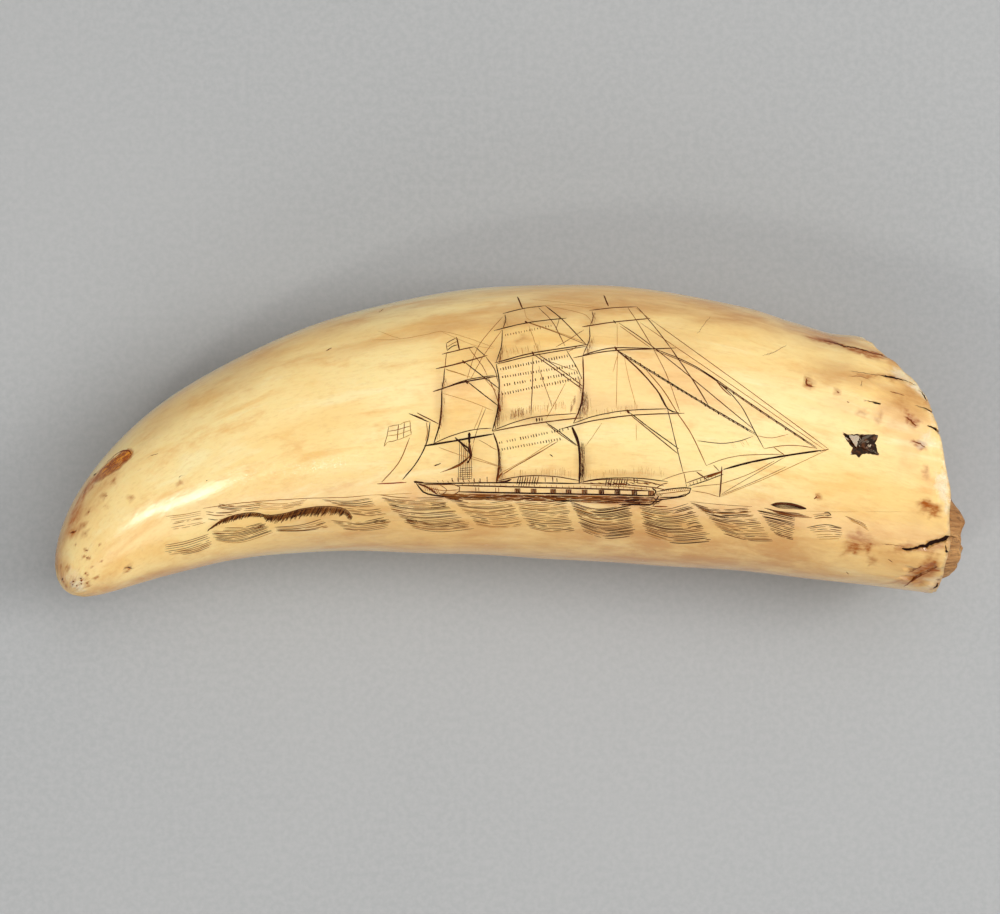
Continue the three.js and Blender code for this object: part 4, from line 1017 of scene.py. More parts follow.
# make every triangle face outward, going by the skin's own normal, and the rings with it
c = XYZ[TRI].mean(1); n = np.cross(XYZ[TRI[:, 1]] - XYZ[TRI[:, 0]], XYZ[TRI[:, 2]] - XYZ[TRI[:, 0]])
if (n * NRM[TRI[:, 0]]).sum(1).mean() < 0:
    FACES[:len(TRI)] = FACES[:len(TRI), ::-1]
ring_faces = FACES[len(TRI):]
v = XYZ[ring_faces]
nn = np.cross(v[:, 1] - v[:, 0], v[:, 2] - v[:, 0])
sel = slice(0, (nr - 1) * 2 * 3)
if nn[sel, 0].mean() < 0:       # the broken face looks along +X
    FACES[len(TRI):-(len(tip_ring) - 1)] = FACES[len(TRI):-(len(tip_ring) - 1), ::-1]
v = XYZ[FACES[-(len(tip_ring) - 1):]]
nn = np.cross(v[:, 1] - v[:, 0], v[:, 2] - v[:, 0])
if nn[:, 0].mean() > 0:
    FACES[-(len(tip_ring) - 1):] = FACES[-(len(tip_ring) - 1):, ::-1]

# sew the seam under the tooth
weld = np.arange(len(XYZ))
for A in [np.where(np.abs(VA - A_HI) < 1e-4)[0]]:
    low = np.where(np.abs(VA - A_LO) < 1e-4)[0]
    order = low[np.argsort(VS[low])]
    for i in A:
        weld[i] = order[np.argmin(np.abs(VS[order] - VS[i]))]
for j in range(1, NRIM + NCAV):
    r = ring_index(j)
    weld[r[-1]] = r[0]
CORNER = FACES.copy()           # corners before sewing keep their own place in the flat layout
FACES = weld[FACES]
good = (FACES[:, 0] != FACES[:, 1]) & (FACES[:, 1] != FACES[:, 2]) & (FACES[:, 2] != FACES[:, 0])
FACES, CORNER = FACES[good], CORNER[good]
used = np.unique(FACES)
remap = np.full(len(XYZ), -1); remap[used] = np.arange(len(used))
print("tooth mesh", len(used), "vertices", len(FACES), "triangles")

# ------------------------------------------------------------------ helpers for objects and nodes
COLL = bpy.context.scene.collection


def mesh_object(name, pts_mm, tris, mats=(), mat_index=None):
    me = bpy.data.meshes.new(name)
    n = len(tris)
    me.vertices.add(len(pts_mm)); me.vertices.foreach_set("co", (np.asarray(pts_mm) * MM).astype(np.float32).ravel())
    me.loops.add(n * 3); me.loops.foreach_set("vertex_index", np.asarray(tris, np.int32).ravel())
    me.polygons.add(n); me.polygons.foreach_set("loop_start", np.arange(0, 3 * n, 3, dtype=np.int32))
    me.polygons.foreach_set("loop_total", np.full(n, 3, np.int32))
    me.polygons.foreach_set("use_smooth", np.ones(n, bool))
    for m in mats:
        me.materials.append(m)
    if mat_index is not None:
        me.polygons.foreach_set("material_index", np.asarray(mat_index, np.int32))
    me.update(calc_edges=True)
    ob = bpy.data.objects.new(name, me)
    COLL.objects.link(ob)
    return ob


class Mat:
    """A small writer of shader nodes."""

    def __init__(self, name):
        self.mat = bpy.data.materials.new(name)
        self.mat.use_nodes = True
        self.t = self.mat.node_tree
        self.t.nodes.clear()
        self.out = self.add("ShaderNodeOutputMaterial")
        self.bsdf = self.add("ShaderNodeBsdfPrincipled")
        self.t.links.new(self.bsdf.outputs[0], self.out.inputs[0])

    def add(self, kind, **props):
        n = self.t.nodes.new(kind)
        for k, v in props.items():
            setattr(n, k, v)
        return n

    def put(self, socket, value):
        if isinstance(value, bpy.types.NodeSocket):
            self.t.links.new(value, socket)
        elif isinstance(value, (tuple, list)) and len(value) == 3 and socket.type == "RGBA":
            socket.default_value = (*value, 1)
        else:
            socket.default_value = value

    def attr(self, name, vector=False):
        return self.add("ShaderNodeAttribute", attribute_name=name).outputs["Vector" if vector else "Fac"]

    def scaled(self, vec, scale, shift=(0, 0, 0)):
        n = self.add("ShaderNodeMapping")
        self.put(n.inputs["Vector"], vec); n.inputs["Scale"].default_value = scale; n.inputs["Location"].default_value = shift
        return n.outputs[0]

    def noise(self, vec, scale, detail=4.0, rough=0.55, distort=0.0):
        n = self.add("ShaderNodeTexNoise")
        self.put(n.inputs["Vector"], vec)
        for k, v in (("Scale", scale), ("Detail", detail), ("Roughness", rough), ("Distortion", distort)):
            n.inputs[k].default_value = v
        return n.outputs[0]

    def voronoi(self, vec, scale, feature="F1"):
        n = self.add("ShaderNodeTexVoronoi", feature=feature)
        self.put(n.inputs["Vector"], vec); n.inputs["Scale"].default_value = scale
        return n.outputs["Distance"]

    def ramp(self, fac, lo, hi, a=0.0, b=1.0):
        n = self.add("ShaderNodeMapRange", interpolation_type="SMOOTHSTEP")
        self.put(n.inputs["Value"], fac)
        for k, v in (("From Min", lo), ("From Max", hi), ("To Min", a), ("To Max", b)):
            n.inputs[k].default_value = v
        return n.outputs[0]

    def math(self, op, a, b=0.0, clamp=False):
        n = self.add("ShaderNodeMath", operation=op, use_clamp=clamp)
        self.put(n.inputs[0], a); self.put(n.inputs[1], b)
        return n.outputs[0]

    def mix(self, fac, a, b):
        n = self.add("ShaderNodeMix", data_type="RGBA", clamp_factor=True)
        self.put(n.inputs["Factor"], fac); self.put(n.inputs[6], a); self.put(n.inputs[7], b)
        return n.outputs[2]

    def bump(self, height, strength, distance, normal=None):
        n = self.add("ShaderNodeBump")
        self.put(n.inputs["Height"], height)
        n.inputs["Strength"].default_value = strength; n.inputs["Distance"].default_value = distance
        if normal is not None:
            self.put(n.inputs["Normal"], normal)
        return n.outputs[0]

    def set(self, **kw):
        for k, v in kw.items():
            self.put(self.bsdf.inputs[k.replace("_", " ")], v)
        return self.mat


def srgb(r, g, b):
    return tuple(((c / 255 + 0.055) / 1.055) ** 2.4 if c > 10 else c / 255 / 12.92 for c in (r, g, b))


# ------------------------------------------------------------------ marks that colour the skin
def oval(x, y, rx, ry, turn=0.0, ragged=0.12, soft=0.35):
    """A soft-edged oval on the upper skin, 1 inside: centre and radii in picture units, turn in degrees."""
    t = math.radians(turn)
    s, a = to_skin(np.array([x, x + rx * math.cos(t), x + ry * math.sin(t)], float),
                   np.array([y, y - rx * math.sin(t), y + ry * math.cos(t)], float))
    c = skin(s, a)
    ex, ey = c[1] - c[0], c[2] - c[0]
    P = P3 - c[0]
    g = np.array([[ex @ ex, ex @ ey], [ex @ ey, ey @ ey]])
    uv = np.stack([P @ ex, P @ ey], -1) @ np.linalg.inv(g)
    th = np.arctan2(uv[:, 1], uv[:, 0])
    r = np.hypot(uv[:, 0], uv[:, 1]) * (1 + ragged * np.sin(3 * th + x) + ragged * 0.8 * np.sin(7 * th + y) + ragged * 0.5 * np.sin(13 * th + x * 3))
    return smooth(1 + soft, 1 - soft, r) * smooth(-0.25, 0.0, NRM[:, 2])


def ovals(rows_, **kw):
    m = np.zeros(len(V2))
    for x, y, rx, ry, turn, amount in rows_:
        m = np.maximum(m, amount * oval(x, y, rx, ry, turn, **kw))
    return m


SIDE = np.cos(VA)
pins = ovals([(x, y, 1.25 * r, 1.1 * r, 0, 0.75) for x, y, r in PINS], ragged=0.1, soft=0.4)
red = ovals([(114.4, 464.6, 21.5, 5.4, 38, 0.85), (124.4, 456.0, 8.4, 5.4, 32, 1.0), (101, 475.6, 9, 3.6, 46, 0.42), (113, 462.4, 16, 3.2, 38, 1.0)], ragged=0.06, soft=0.2)
red_wash = ovals([(92, 482, 14, 3.4, 54, 1.0), (84.4, 493, 10, 3.0, 62, 1.0), (75.6, 513, 18, 5.4, 68, 0.95), (73, 531, 7, 4.6, 60, 1.0), (80, 526, 9, 5, 60, 0.45), (108, 480, 16, 4, 40, 0.4), (98, 494, 30, 8, 50, 0.28)], ragged=0.14, soft=0.5)
brown = ovals([(911.6, 420, 7, 4.6, -45, 1.0), (914, 424, 4, 3, 0, 1.0), (919, 443.6, 8, 2.2, -18, 0.9), (921, 447, 3, 3.4, 0, 0.7), (927, 503.6, 7.4, 3.2, -10, 1.0), (931.4, 509.4, 9, 5.2, -24, 1.0), (924.6, 512, 4, 2, 0, 0.5), (926, 472, 3, 7, 0, 0.5),
               (858, 541, 14, 9, 15, 0.55), (855, 547, 6, 5, 0, 1.0), (867.4, 546.4, 5.4, 5, 0, 1.0), (860.6, 549.6, 5, 1.6, 0, 0.7), (872, 561, 4, 4, 0, 0.5), (523, 338, 7, 2.8, 20, 0.5), (500, 496.2, 54, 3.6, -1, 0.45), (610, 499, 46, 4.4, -3, 0.6), (455, 494, 18, 3, -4, 0.25),
               (918, 576, 22, 8, 35, 0.6), (930.6, 569.4, 10, 6, 35, 1.0), (918, 576, 8, 4, 40, 0.9), (808, 383, 3.4, 5.4, 0, 0.9), (868, 353, 22, 3.2, -15, 0.85), (826, 341, 14, 2.6, -8, 1.0), (925, 547, 26, 4.6, 10, 0.5),
               (897, 362, 10, 5, -40, 0.35), (912, 392, 12, 8, -50, 0.25), (930, 404, 6, 6, 0, 0.3), (905, 547, 9, 4, 10, 0.5), (893, 377, 12, 2.4, -8, 0.6), (128, 568, 3, 1.6, 0, 0.8), (868, 376, 10, 2, -6, 0.5), (862, 413, 5, 3.6, 0, 0.4), (880.6, 415, 3, 3, 0, 0.35),
               (878, 422, 3, 3, 0, 0.35), (818, 496.6, 2.4, 2.4, 0, 0.7), (838, 392, 3, 2.4, 0, 0.6), (937, 586, 8, 2.4, 35, 0.6), (948, 543, 5, 6, 0, 0.4), (900, 403, 6, 6, 0, 0.25)], ragged=0.2, soft=0.5)
brown = np.maximum(np.clip(brown * 1.3, 0, 1), pins)
tan = ovals([(600, 305, 190, 13, -2, 0.62), (470, 297, 90, 6, 6, 0.35), (770, 321, 60, 10, -14, 0.8), (655, 342, 50, 16, -8, 0.34), (490, 350, 30, 14, 20, 0.22), (600, 326, 20, 8, 0, 0.3),
             (690, 385, 56, 20, -30, 0.26), (455, 400, 30, 34, 20, 0.12), (470, 452, 30, 14, 0, 0.20), (600, 462, 50, 12, 0, 0.12), (660, 470, 40, 12, 0, 0.18),
             (745, 425, 24, 10, -20, 0.12), (828, 337, 44, 9, -14, 0.75), (846, 374, 36, 12, -10, 0.6), (905, 400, 28, 24, -50, 0.7), (905, 560, 46, 26, 10, 0.5), (250, 370, 60, 12, 30, 0.25),
             (345, 325, 60, 8, 18, 0.28), (240, 505, 70, 12, 5, 0.2), (370, 500, 60, 12, 0, 0.15), (160, 428, 40, 10, 42, 0.3), (838, 405, 20, 10, 0, 0.35), (760, 372, 40, 12, -20, 0.10),
             (58, 556, 9, 34, -8, 0.8), (96, 592, 40, 9, 12, 0.6), (176, 571, 56, 9, 12, 0.8), (62, 524, 8, 24, -24, 0.75), (910, 430, 14, 30, 0, 0.3), (926, 579, 20, 9, 30, 0.9), (250, 556, 40, 6, 8, 0.4)], ragged=0.14, soft=0.75)
# tan on the lower flank and on the lower half all round: partly the ivory's own tan, partly painted shade on the
# surfaces that turn down and away from the light
lower_flank_tan_and_shade = smooth(-0.15, -0.85, SIDE) * smooth(30, 60, VS) * smooth(-0.9, -0.2, np.sin(VA) + 0.4)
tan = np.maximum(tan, (0.5 + 0.28 * smooth(95, 112, VS) * smooth(160, 140, VS)) * lower_flank_tan_and_shade)
underside_tan_and_shade = smooth(0.25, -0.5, np.sin(VA))
tan = np.maximum(tan, 0.42 * underside_tan_and_shade)
pale = ovals([(943, 486, 6, 14, 4, 0.85), (927, 441, 8, 7, 0, 0.5), (921, 390, 10, 4, -45, 0.75), (903, 375, 12, 4, -30, 0.6), (934, 584, 9, 4, 30, 0.35),
              (78, 586, 7, 4, -20, 0.7), (72, 577, 9, 6, 0, 0.3), (947, 508, 3, 6, 0, 0.6), (934, 421, 4, 6, 20, 0.3)], ragged=0.2, soft=0.4)
pale = np.maximum(pale, 0.30 * brink)
tip_brown = smooth(0.15, 0.9, tipness)
soot = ovals([(499, 408, 6, 22, 6, 0.9), (526, 417, 32, 6, -8, 0.8), (583, 404, 6, 20, -8, 1.0), (598, 406, 16, 12, 0, 0.5), (630, 407, 34, 4, -3, 0.5), (583, 465, 6, 18, 0, 0.9),
              (500, 470, 4, 14, 0, 0.8), (501, 356, 8, 6, 0, 0.6), (530, 352, 28, 4, -10, 0.5), (590, 346, 7, 8, 0, 0.6), (592, 318, 7, 6, 0, 0.5), (441, 405, 5, 26, 6, 0.6), (506, 323, 6, 6, 0, 0.4),
              (538, 476, 36, 3.4, 0, 0.5), (625, 475, 38, 3.4, 0, 0.5), (560, 329, 26, 5, -14, 0.3), (466, 383, 30, 3, 14, 0.3), (468, 465, 9, 16, 0, 0.4), (540, 400, 30, 10, -6, 0.25), (486, 436, 22, 3, 12, 0.3)], ragged=0.1, soft=0.8)

grooved = np.clip(cut_depth / 0.06, 0, 1) * (1 - smooth(0.12, 0.3, cut_depth))

# ink haze: how much engraved line lies close by
gs_, gq_ = np.arange(0, LENGTH + 4, 0.25), np.arange(A_LO * R0, A_HI * R0, 0.25)
ink = np.zeros((len(gs_), len(gq_)))
for l in lay[:N_ENGRAVED]:
    if l is None:
        continue
    s, a, half, dep, tone = l[:5]
    q = resample(np.stack([s, a * R0], -1), 0.2)
    w = np.interp(np.linspace(0, 1, len(q)), np.linspace(0, 1, len(s)), half) * {"dark": 1.0, "brown": 0.6, "tan": 0.3, "red": 0.5, "sea": 0.95, "seab": 0.6}[tone]
    np.add.at(ink, (np.clip((q[:, 0] / 0.25).astype(int), 0, len(gs_) - 1), np.clip(((q[:, 1] - A_LO * R0) / 0.25).astype(int), 0, len(gq_) - 1)), w)
for sigma in (2.2,):
    k = np.exp(-0.5 * (np.arange(-7, 8) / sigma) ** 2); k /= k.sum()
    ink = np.apply_along_axis(lambda v: np.convolve(v, k, "same"), 0, ink)
    ink = np.apply_along_axis(lambda v: np.convolve(v, k, "same"), 1, ink)
smear = ink[np.clip((VS / 0.25).astype(int), 0, len(gs_) - 1), np.clip(((VA - A_LO) * R0 / 0.25).astype(int), 0, len(gq_) - 1)]
smear = smooth(0.0, 0.15, smear)


def every(values, ring=0.0):
    """Values for the skin's points, and a plain one for the points of the broken end and hollow."""
    return np.concatenate([values, np.full(len(XYZ) - base, ring)])


half_all = np.interp(np.minimum(ALL_S, LENGTH), S_TAB, H_TAB)
shrink = np.where(KIND == 1, 1 - 0.24 * ALL_K, np.where(KIND == 2, (1 - ALL_K) * 0.76, 1.0))
along = np.where(KIND == 2, LENGTH - CAVITY_DEPTH * ALL_K, ALL_S)
STRAIGHT = np.stack([along, half_all * shrink * np.cos(ALL_A), half_all * shrink * np.sin(ALL_A) * 0.85], -1)
masks = {"m_red": every(red), "m_wash": every(red_wash), "m_brown": every(brown), "m_tan": every(tan), "m_pale": every(pale), "m_tip": every(tip_brown), "m_soot": every(soot),
         "m_smear": every(smear), "m_groove": every(grooved), "m_crack": every(crackness), "m_pit": every(in_pit), "m_brink": every(smooth(2.4, 0.0, to_end)),
         "m_end": (KIND == 1).astype(float), "m_hollow": np.where(KIND == 2, np.clip(0.25 + ALL_K * 1.4, 0, 1), 0.0)}
for i in on_rim:
    masks["m_end"][i] = 0.5

tooth_ob = mesh_object("tooth_ivory", XYZ[used], remap[FACES])
tm = tooth_ob.data
layer = tm.attributes.new("straight", "FLOAT_VECTOR", "POINT")
layer.data.foreach_set("vector", STRAIGHT[used].astype(np.float32).ravel())
for name, val in masks.items():
    tm.attributes.new(name, "FLOAT", "POINT").data.foreach_set("value", val[used].astype(np.float32))

# shading normals: the skin's own where it is uncut, the facet's in steep cuts
T = FACES
v = XYZ[T]
fn = np.cross(v[:, 1] - v[:, 0], v[:, 2] - v[:, 0])
area2 = np.linalg.norm(fn, axis=1) + 1e-15
unit = fn / area2[:, None]
ring_face = (KIND[CORNER] > 0).any(1)


def blended(face_sel):
    acc = np.zeros((len(XYZ), 3))
    for k in range(3):
        np.add.at(acc, T[face_sel][:, k], fn[face_sel])
    return acc / (np.linalg.norm(acc, axis=1)[:, None] + 1e-15)


vn_skin, vn_ring = blended(~ring_face), blended(ring_face)
full_n = vn_skin.copy()
own_n = NRM.copy()
ok = (np.abs(depth) < 1e-3) & (P3[:, 2] > 0.05) & (to_end > 1.2) & (VS > S0 + 2.5)
full_n[:base][ok] = own_n[ok]
corner_n = full_n[T]
corner_n[ring_face] = vn_ring[T[ring_face]]
cosang = (unit[:, None, :] * corner_n).sum(2)
steep = (cosang < 0.93).any(1) & ~ring_face & (np.clip(depth, 0, 9)[np.minimum(CORNER, base - 1)].max(1) > 0.004)
corner_n[steep] = unit[steep][:, None, :]
rough_ring = (cosang < 0.8) & ring_face[:, None]
corner_n[rough_ring] = np.repeat(unit[:, None, :], 3, 1)[rough_ring]
bad = np.linalg.norm(corner_n, axis=2) < 0.5
corner_n[bad] = np.repeat(unit[:, None, :], 3, 1)[bad]
tm.normals_split_custom_set(corner_n.reshape(-1, 3).astype(np.float32))

# the flat map for the surface's colours: the skin unrolled, the broken end and hollow above it
S_c, A_c = ALL_S[CORNER].copy(), ALL_A[CORNER].copy()
ORDER = np.concatenate([np.zeros(base)] + [np.full(nr, j + 1) for j in range(len(ring_pts))] + [[NRIM + NCAV], [0]])
J_c = ORDER[CORNER]
for idx in (I_APEX, I_POLE):
    for k in range(3):
        m = CORNER[:, k] == idx
        A_c[m, k] = 0.5 * (A_c[m, (k + 1) % 3] + A_c[m, (k + 2) % 3])
U = np.where(ring_face[:, None], (A_c - A_LO) / (2 * math.pi), S_c / (LENGTH + 4))
W = np.where(ring_face[:, None], 0.815 + 0.175 * J_c / (NRIM + NCAV), 0.01 + 0.78 * (A_c - A_LO) / (2 * math.pi))
uv = tm.uv_layers.new(name="OFBake")
uv.uv.foreach_set("vector", np.stack([0.006 + 0.988 * U, W], -1).astype(np.float32).ravel())
print("marks done")

# ------------------------------------------------------------------ pigment in the cuts, dirt in the cracks
def fill(entries, rule):
    """Closed wedges lying in the cuts: for each path, two lips and a keel."""
    pts, tris, mats = [], [], []
    off = 0
    for (s, a, half, dep, tone, ds, da), slot in entries:
        up, wide, keel, proud = rule(tone, dep)
        n = len(s)
        if n < 2:
            continue
        c, _, _, nn = frame_at(s, a)
        nn = nn * NSIGN
        L = skin(s + ds * half * wide, a + da * half * wide) - nn * up[:, None]
        R = skin(s - ds * half * wide, a - da * half * wide) - nn * up[:, None]
        M = c - nn * (up + proud)[:, None]
        K = c - nn * keel[:, None]
        pts += [L, R, M, K]
        l, r, m, k = off + np.arange(n), off + n + np.arange(n), off + 2 * n + np.arange(n), off + 3 * n + np.arange(n)
        for u, w in ((l, m), (m, r), (r, k), (k, l)):
            tris.append(np.stack([u[:-1], w[:-1], w[1:]], -1)); tris.append(np.stack([u[:-1], w[1:], u[1:]], -1))
        tris.append(np.array([[l[0], k[0], m[0]], [m[0], k[0], r[0]], [l[-1], m[-1], k[-1]], [m[-1], r[-1], k[-1]]]))
        mats.append(np.full(8 * (n - 1) + 4, slot))
        off += 4 * n
    P, T_, M_ = np.vstack(pts), np.vstack(tris), np.concatenate(mats)
    v_ = P[T_]
    f = np.cross(v_[:, 1] - v_[:, 0], v_[:, 2] - v_[:, 0])
    top = f[::1]
    if top[:, 2][:2].sum() < 0 or np.median(f[np.arange(0, len(f))][:, 2][M_ >= 0][:1]) < 0:
        T_ = T_[:, ::-1]
    return P, T_, M_


def pigment(name, colour, rough, spec=0.35):
    m = Mat(name)
    pos = m.add("ShaderNodeTexCoord").outputs["Object"]
    n = m.noise(pos, 9000, 3, 0.6)
    m.put(m.bsdf.inputs["Base Color"], colour)
    m.put(m.bsdf.inputs["Roughness"], m.ramp(n, 0.3, 0.7, rough - 0.12, rough + 0.15))
    m.put(m.bsdf.inputs["Normal"], m.bump(m.noise(pos, 14000, 2), 0.35, 0.00003))
    m.put(m.bsdf.inputs["Specular IOR Level"], spec)
    return m.mat


INKS = {"dark": [srgb(66, 25, 5), srgb(38, 13, 2), srgb(92, 41, 11)], "brown": [srgb(128, 66, 18), srgb(106, 52, 11), srgb(146, 82, 28)],
        "tan": [srgb(174, 116, 52), srgb(188, 132, 64)], "red": [srgb(146, 52, 26)],
        "sea": [srgb(72, 34, 6), srgb(54, 24, 4), srgb(96, 50, 14)], "seab": [srgb(128, 74, 24), srgb(144, 88, 34)]}
ink_mats, ink_slot = [], {}
for tone, cols in INKS.items():
    ink_slot[tone] = []
    for i, c in enumerate(cols):
        ink_slot[tone].append(len(ink_mats)); ink_mats.append(pigment(f"pigment_{tone}_{i + 1}", c, 0.6, 0.12))
g = np.random.default_rng(4)
entries = [(l, ink_slot[l[4]][int(g.integers(len(ink_slot[l[4]])))]) for l in lay[:N_ENGRAVED] if l is not None and len(l[0]) > 1]


def ink_rule(tone, dep):
    d = dep.copy(); d[0] *= 0.2; d[-1] *= 0.2
    return np.full(len(dep), -0.012), 0.95, np.maximum(d * 0.92, 0.004), -0.004


P, T_, M_ = fill(entries, ink_rule)
ink_ob = mesh_object("engraving_pigment", P, T_, ink_mats, M_)
print("pigment", len(T_), "triangles")

DIRT = [pigment("crack_dirt", srgb(34, 12, 5), 0.75, 0.1), pigment("crack_rust", srgb(122, 56, 14), 0.7, 0.12), pigment("stain_line", srgb(138, 62, 14), 0.5, 0.15)]


def dirt_rule(tone, dep):
    deep = float(dep.max())
    lie = 0.30 if deep > 0.35 else 0.10
    return dep * lie, 1 - lie * 1.02, np.maximum(dep * 0.96, 0.02), 0.004


entries = []
for li in range(N_ENGRAVED, len(lay)):
    if lay[li] is not None and len(lay[li][0]) > 1:
        entries.append((lay[li], {"dirt": 0, "rust": 1, "stain": 2}[lay[li][4]]))
P, T_, M_ = fill(entries, dirt_rule)
dirt_ob = mesh_object("crack_fill", P, T_, DIRT, M_)

# ------------------------------------------------------------------ dried glossy residue in the square pit
NR_, NA_ = 20, len(pit_xy)
corners_xy = [np.array(PIT[i]) for i in (0, 3, 6, 11)]
cs, ca = to_skin(np.array([c[0] for c in corners_xy]), np.array([c[1] for c in corners_xy]))
corner_dir = [math.atan2(q * R0 - pit_c[1], s - pit_c[0]) for s, q in zip(cs, ca)]
lows, lowa = to_skin(np.array([859.0, 871.4]), np.array([445.6, 446.0]))
low = np.array([lows[0], lowa[0] * R0])
g = np.random.default_rng(9)
pts, tris = [], []
theta = np.arctan2(pit_xy[:, 1] - low[1], pit_xy[:, 0] - low[0])
ridge = np.zeros(NA_)
us, ua = to_skin(np.array([850.0, 860.0, 850.0]), np.array([437.0, 437.0, 447.0]))
o_ = np.array([us[0], ua[0] * R0])
to_pic = np.linalg.inv(np.array([[us[1] - us[0], (ua[1] - ua[0]) * R0], [us[2] - us[0], (ua[2] - ua[0]) * R0]]).T)
FACET = [((848.0, 434.9), (863.6, 435.0), (860.6, 439.0), (856.6, 448.0)), ((867.4, 444.2), (871.2, 442.8), (873.2, 446.2), (870.4, 448.8), (867.8, 447.4))]
FACET_N = [np.array([0.405, 0.049, 0.913]), np.array([-0.229, -0.246, 0.942])]
FACET_D = [0.10, 0.62]
f_ref = []
for poly in FACET:
    rs_, ra_ = to_skin(np.array([poly[0][0]]), np.array([poly[0][1]]))
    f_ref.append(skin(rs_, ra_)[0])
for d in corner_dir:
    e = np.abs((theta - d + math.pi) % (2 * math.pi) - math.pi)
    ridge = np.maximum(ridge, np.exp(-(e / 0.13) ** 2))
for j in range(NR_ + 1):
    k = j / NR_
    sq = low + (pit_xy - low) * (0.99 - 0.97 * k)
    fall = 0.03 + 1.15 * k ** 0.95
    lift = 0.16 * ridge * math.sin(math.pi * min(k * 1.15, 1)) ** 0.7
    wavy = 0.035 * np.sin(theta * 5 + k * 7) * math.sin(math.pi * k) + 0.02 * np.sin(theta * 11 + k * 13 + 1) * math.sin(math.pi * k)
    bead = np.exp(-(((sq[:, 0] - lows[1]) ** 2 + (sq[:, 1] - lowa[1] * R0) ** 2) / 0.30 ** 2))
    dd = np.clip(fall - lift + wavy - 0.0 * bead, 0.015, PIT_DEPTH - 0.05)
    s, a = sq[:, 0], sq[:, 1] / R0
    c, _, _, nn = frame_at(s, a)
    if 0 < j < NR_:
        pic = np.array([850.0, 437.0]) + (to_pic @ (sq - o_).T).T * 10.0
        for poly, N, d0, ref in zip(FACET, FACET_N, FACET_D, f_ref):
            hit = inside_poly(pic, np.array(poly))
            flat = ((c - ref) @ N) / (nn * NSIGN @ N) + d0
            dd = np.where(hit, np.clip(flat, 0.04, PIT_DEPTH - 0.08), dd)
    pts.append(c - nn * NSIGN * dd[:, None])
c, _, _, nn = frame_at(low[:1], low[1:] / R0)
pts.append(c - nn * NSIGN * 1.19)
sq = low + (pit_xy - low) * 0.9
c2, _, _, nn2 = frame_at(sq[:, 0], sq[:, 1] / R0)
pts.append(c2 - nn2 * NSIGN * (PIT_DEPTH + 0.02))
pts.append(c - nn * NSIGN * (PIT_DEPTH + 0.02))
for j in range(NR_):
    A, B = j * NA_ + np.arange(NA_), (j + 1) * NA_ + np.arange(NA_)
    A2, B2 = np.roll(A, -1), np.roll(B, -1)
    tris += [np.stack([A, A2, B2], -1), np.stack([A, B2, B], -1)]
A = NR_ * NA_ + np.arange(NA_); c_top = (NR_ + 1) * NA_
tris.append(np.stack([A, np.roll(A, -1), np.full(NA_, c_top)], -1))
Bt = c_top + 1 + np.arange(NA_); c_bot = c_top + 1 + NA_
A0 = np.arange(NA_)
tris += [np.stack([A0, Bt, np.roll(Bt, -1)], -1), np.stack([A0, np.roll(Bt, -1), np.roll(A0, -1)], -1), np.stack([Bt, np.full(NA_, c_bot), np.roll(Bt, -1)], -1)]
RP, RT = np.vstack(pts), np.vstack(tris)
v_ = RP[RT[:NA_]]
if np.cross(v_[:, 1] - v_[:, 0], v_[:, 2] - v_[:, 0])[:, 2].sum() < 0:
    RT = RT[:, ::-1]
rm = Mat("dried_residue")
pos = rm.add("ShaderNodeTexCoord").outputs["Object"]
n1 = rm.noise(pos, 1400, 4)
rm.set(Base_Color=rm.mix(rm.ramp(n1, 0.45, 0.72), srgb(32, 11, 2), srgb(94, 45, 12)), Roughness=rm.ramp(n1, 0.3, 0.75, 0.08, 0.24),
       Normal=rm.bump(rm.noise(pos, 1900, 3), 0.30, 0.00006), Specular_IOR_Level=0.78, Specular_Tint=srgb(255, 236, 206))
res_ob = mesh_object("pit_residue", RP, RT, [rm.mat])
res_ob.data.set_sharp_from_angle(angle=math.radians(38))

# ------------------------------------------------------------------ ivory
m = Mat("ivory")
st = m.attr("straight", True)
big = m.noise(m.scaled(st, (0.020, 0.045, 0.045)), 1.0, 4, 0.55, 0.4)
streak = m.noise(m.scaled(st, (0.030, 0.22, 0.22), (3, 7, 1)), 1.0, 5, 0.6, 0.6)
mott = m.noise(m.scaled(st, (0.10, 0.26, 0.26), (9, 2, 5)), 1.0, 6, 0.62, 0.2)
fine = m.noise(m.scaled(st, (0.5, 1.6, 1.6), (1, 4, 8)), 1.0, 4, 0.65)
grain = m.noise(m.scaled(st, (0.10, 3.4, 3.4), (5, 5, 2)), 1.0, 3, 0.6)
col = m.mix(m.ramp(big, 0.34, 0.66), srgb(253, 227, 160), srgb(247, 207, 132))
col = m.mix(m.math("MULTIPLY", m.ramp(streak, 0.50, 0.72), 0.65), col, srgb(238, 186, 106))
col = m.mix(m.math("MULTIPLY", m.ramp(streak, 0.46, 0.28), 0.55), col, srgb(253, 237, 182))
col = m.mix(m.math("MULTIPLY", m.ramp(mott, 0.52, 0.74), 0.55), col, srgb(230, 172, 96))
col = m.mix(m.math("MULTIPLY", m.ramp(fine, 0.45, 0.8), 0.22), col, srgb(206, 146, 76))
col = m.mix(m.math("MULTIPLY", m.ramp(grain, 0.56, 0.72), 0.10), col, srgb(176, 116, 56))
blotch = m.ramp(mott, 0.30, 0.62, 0.40, 1.0)
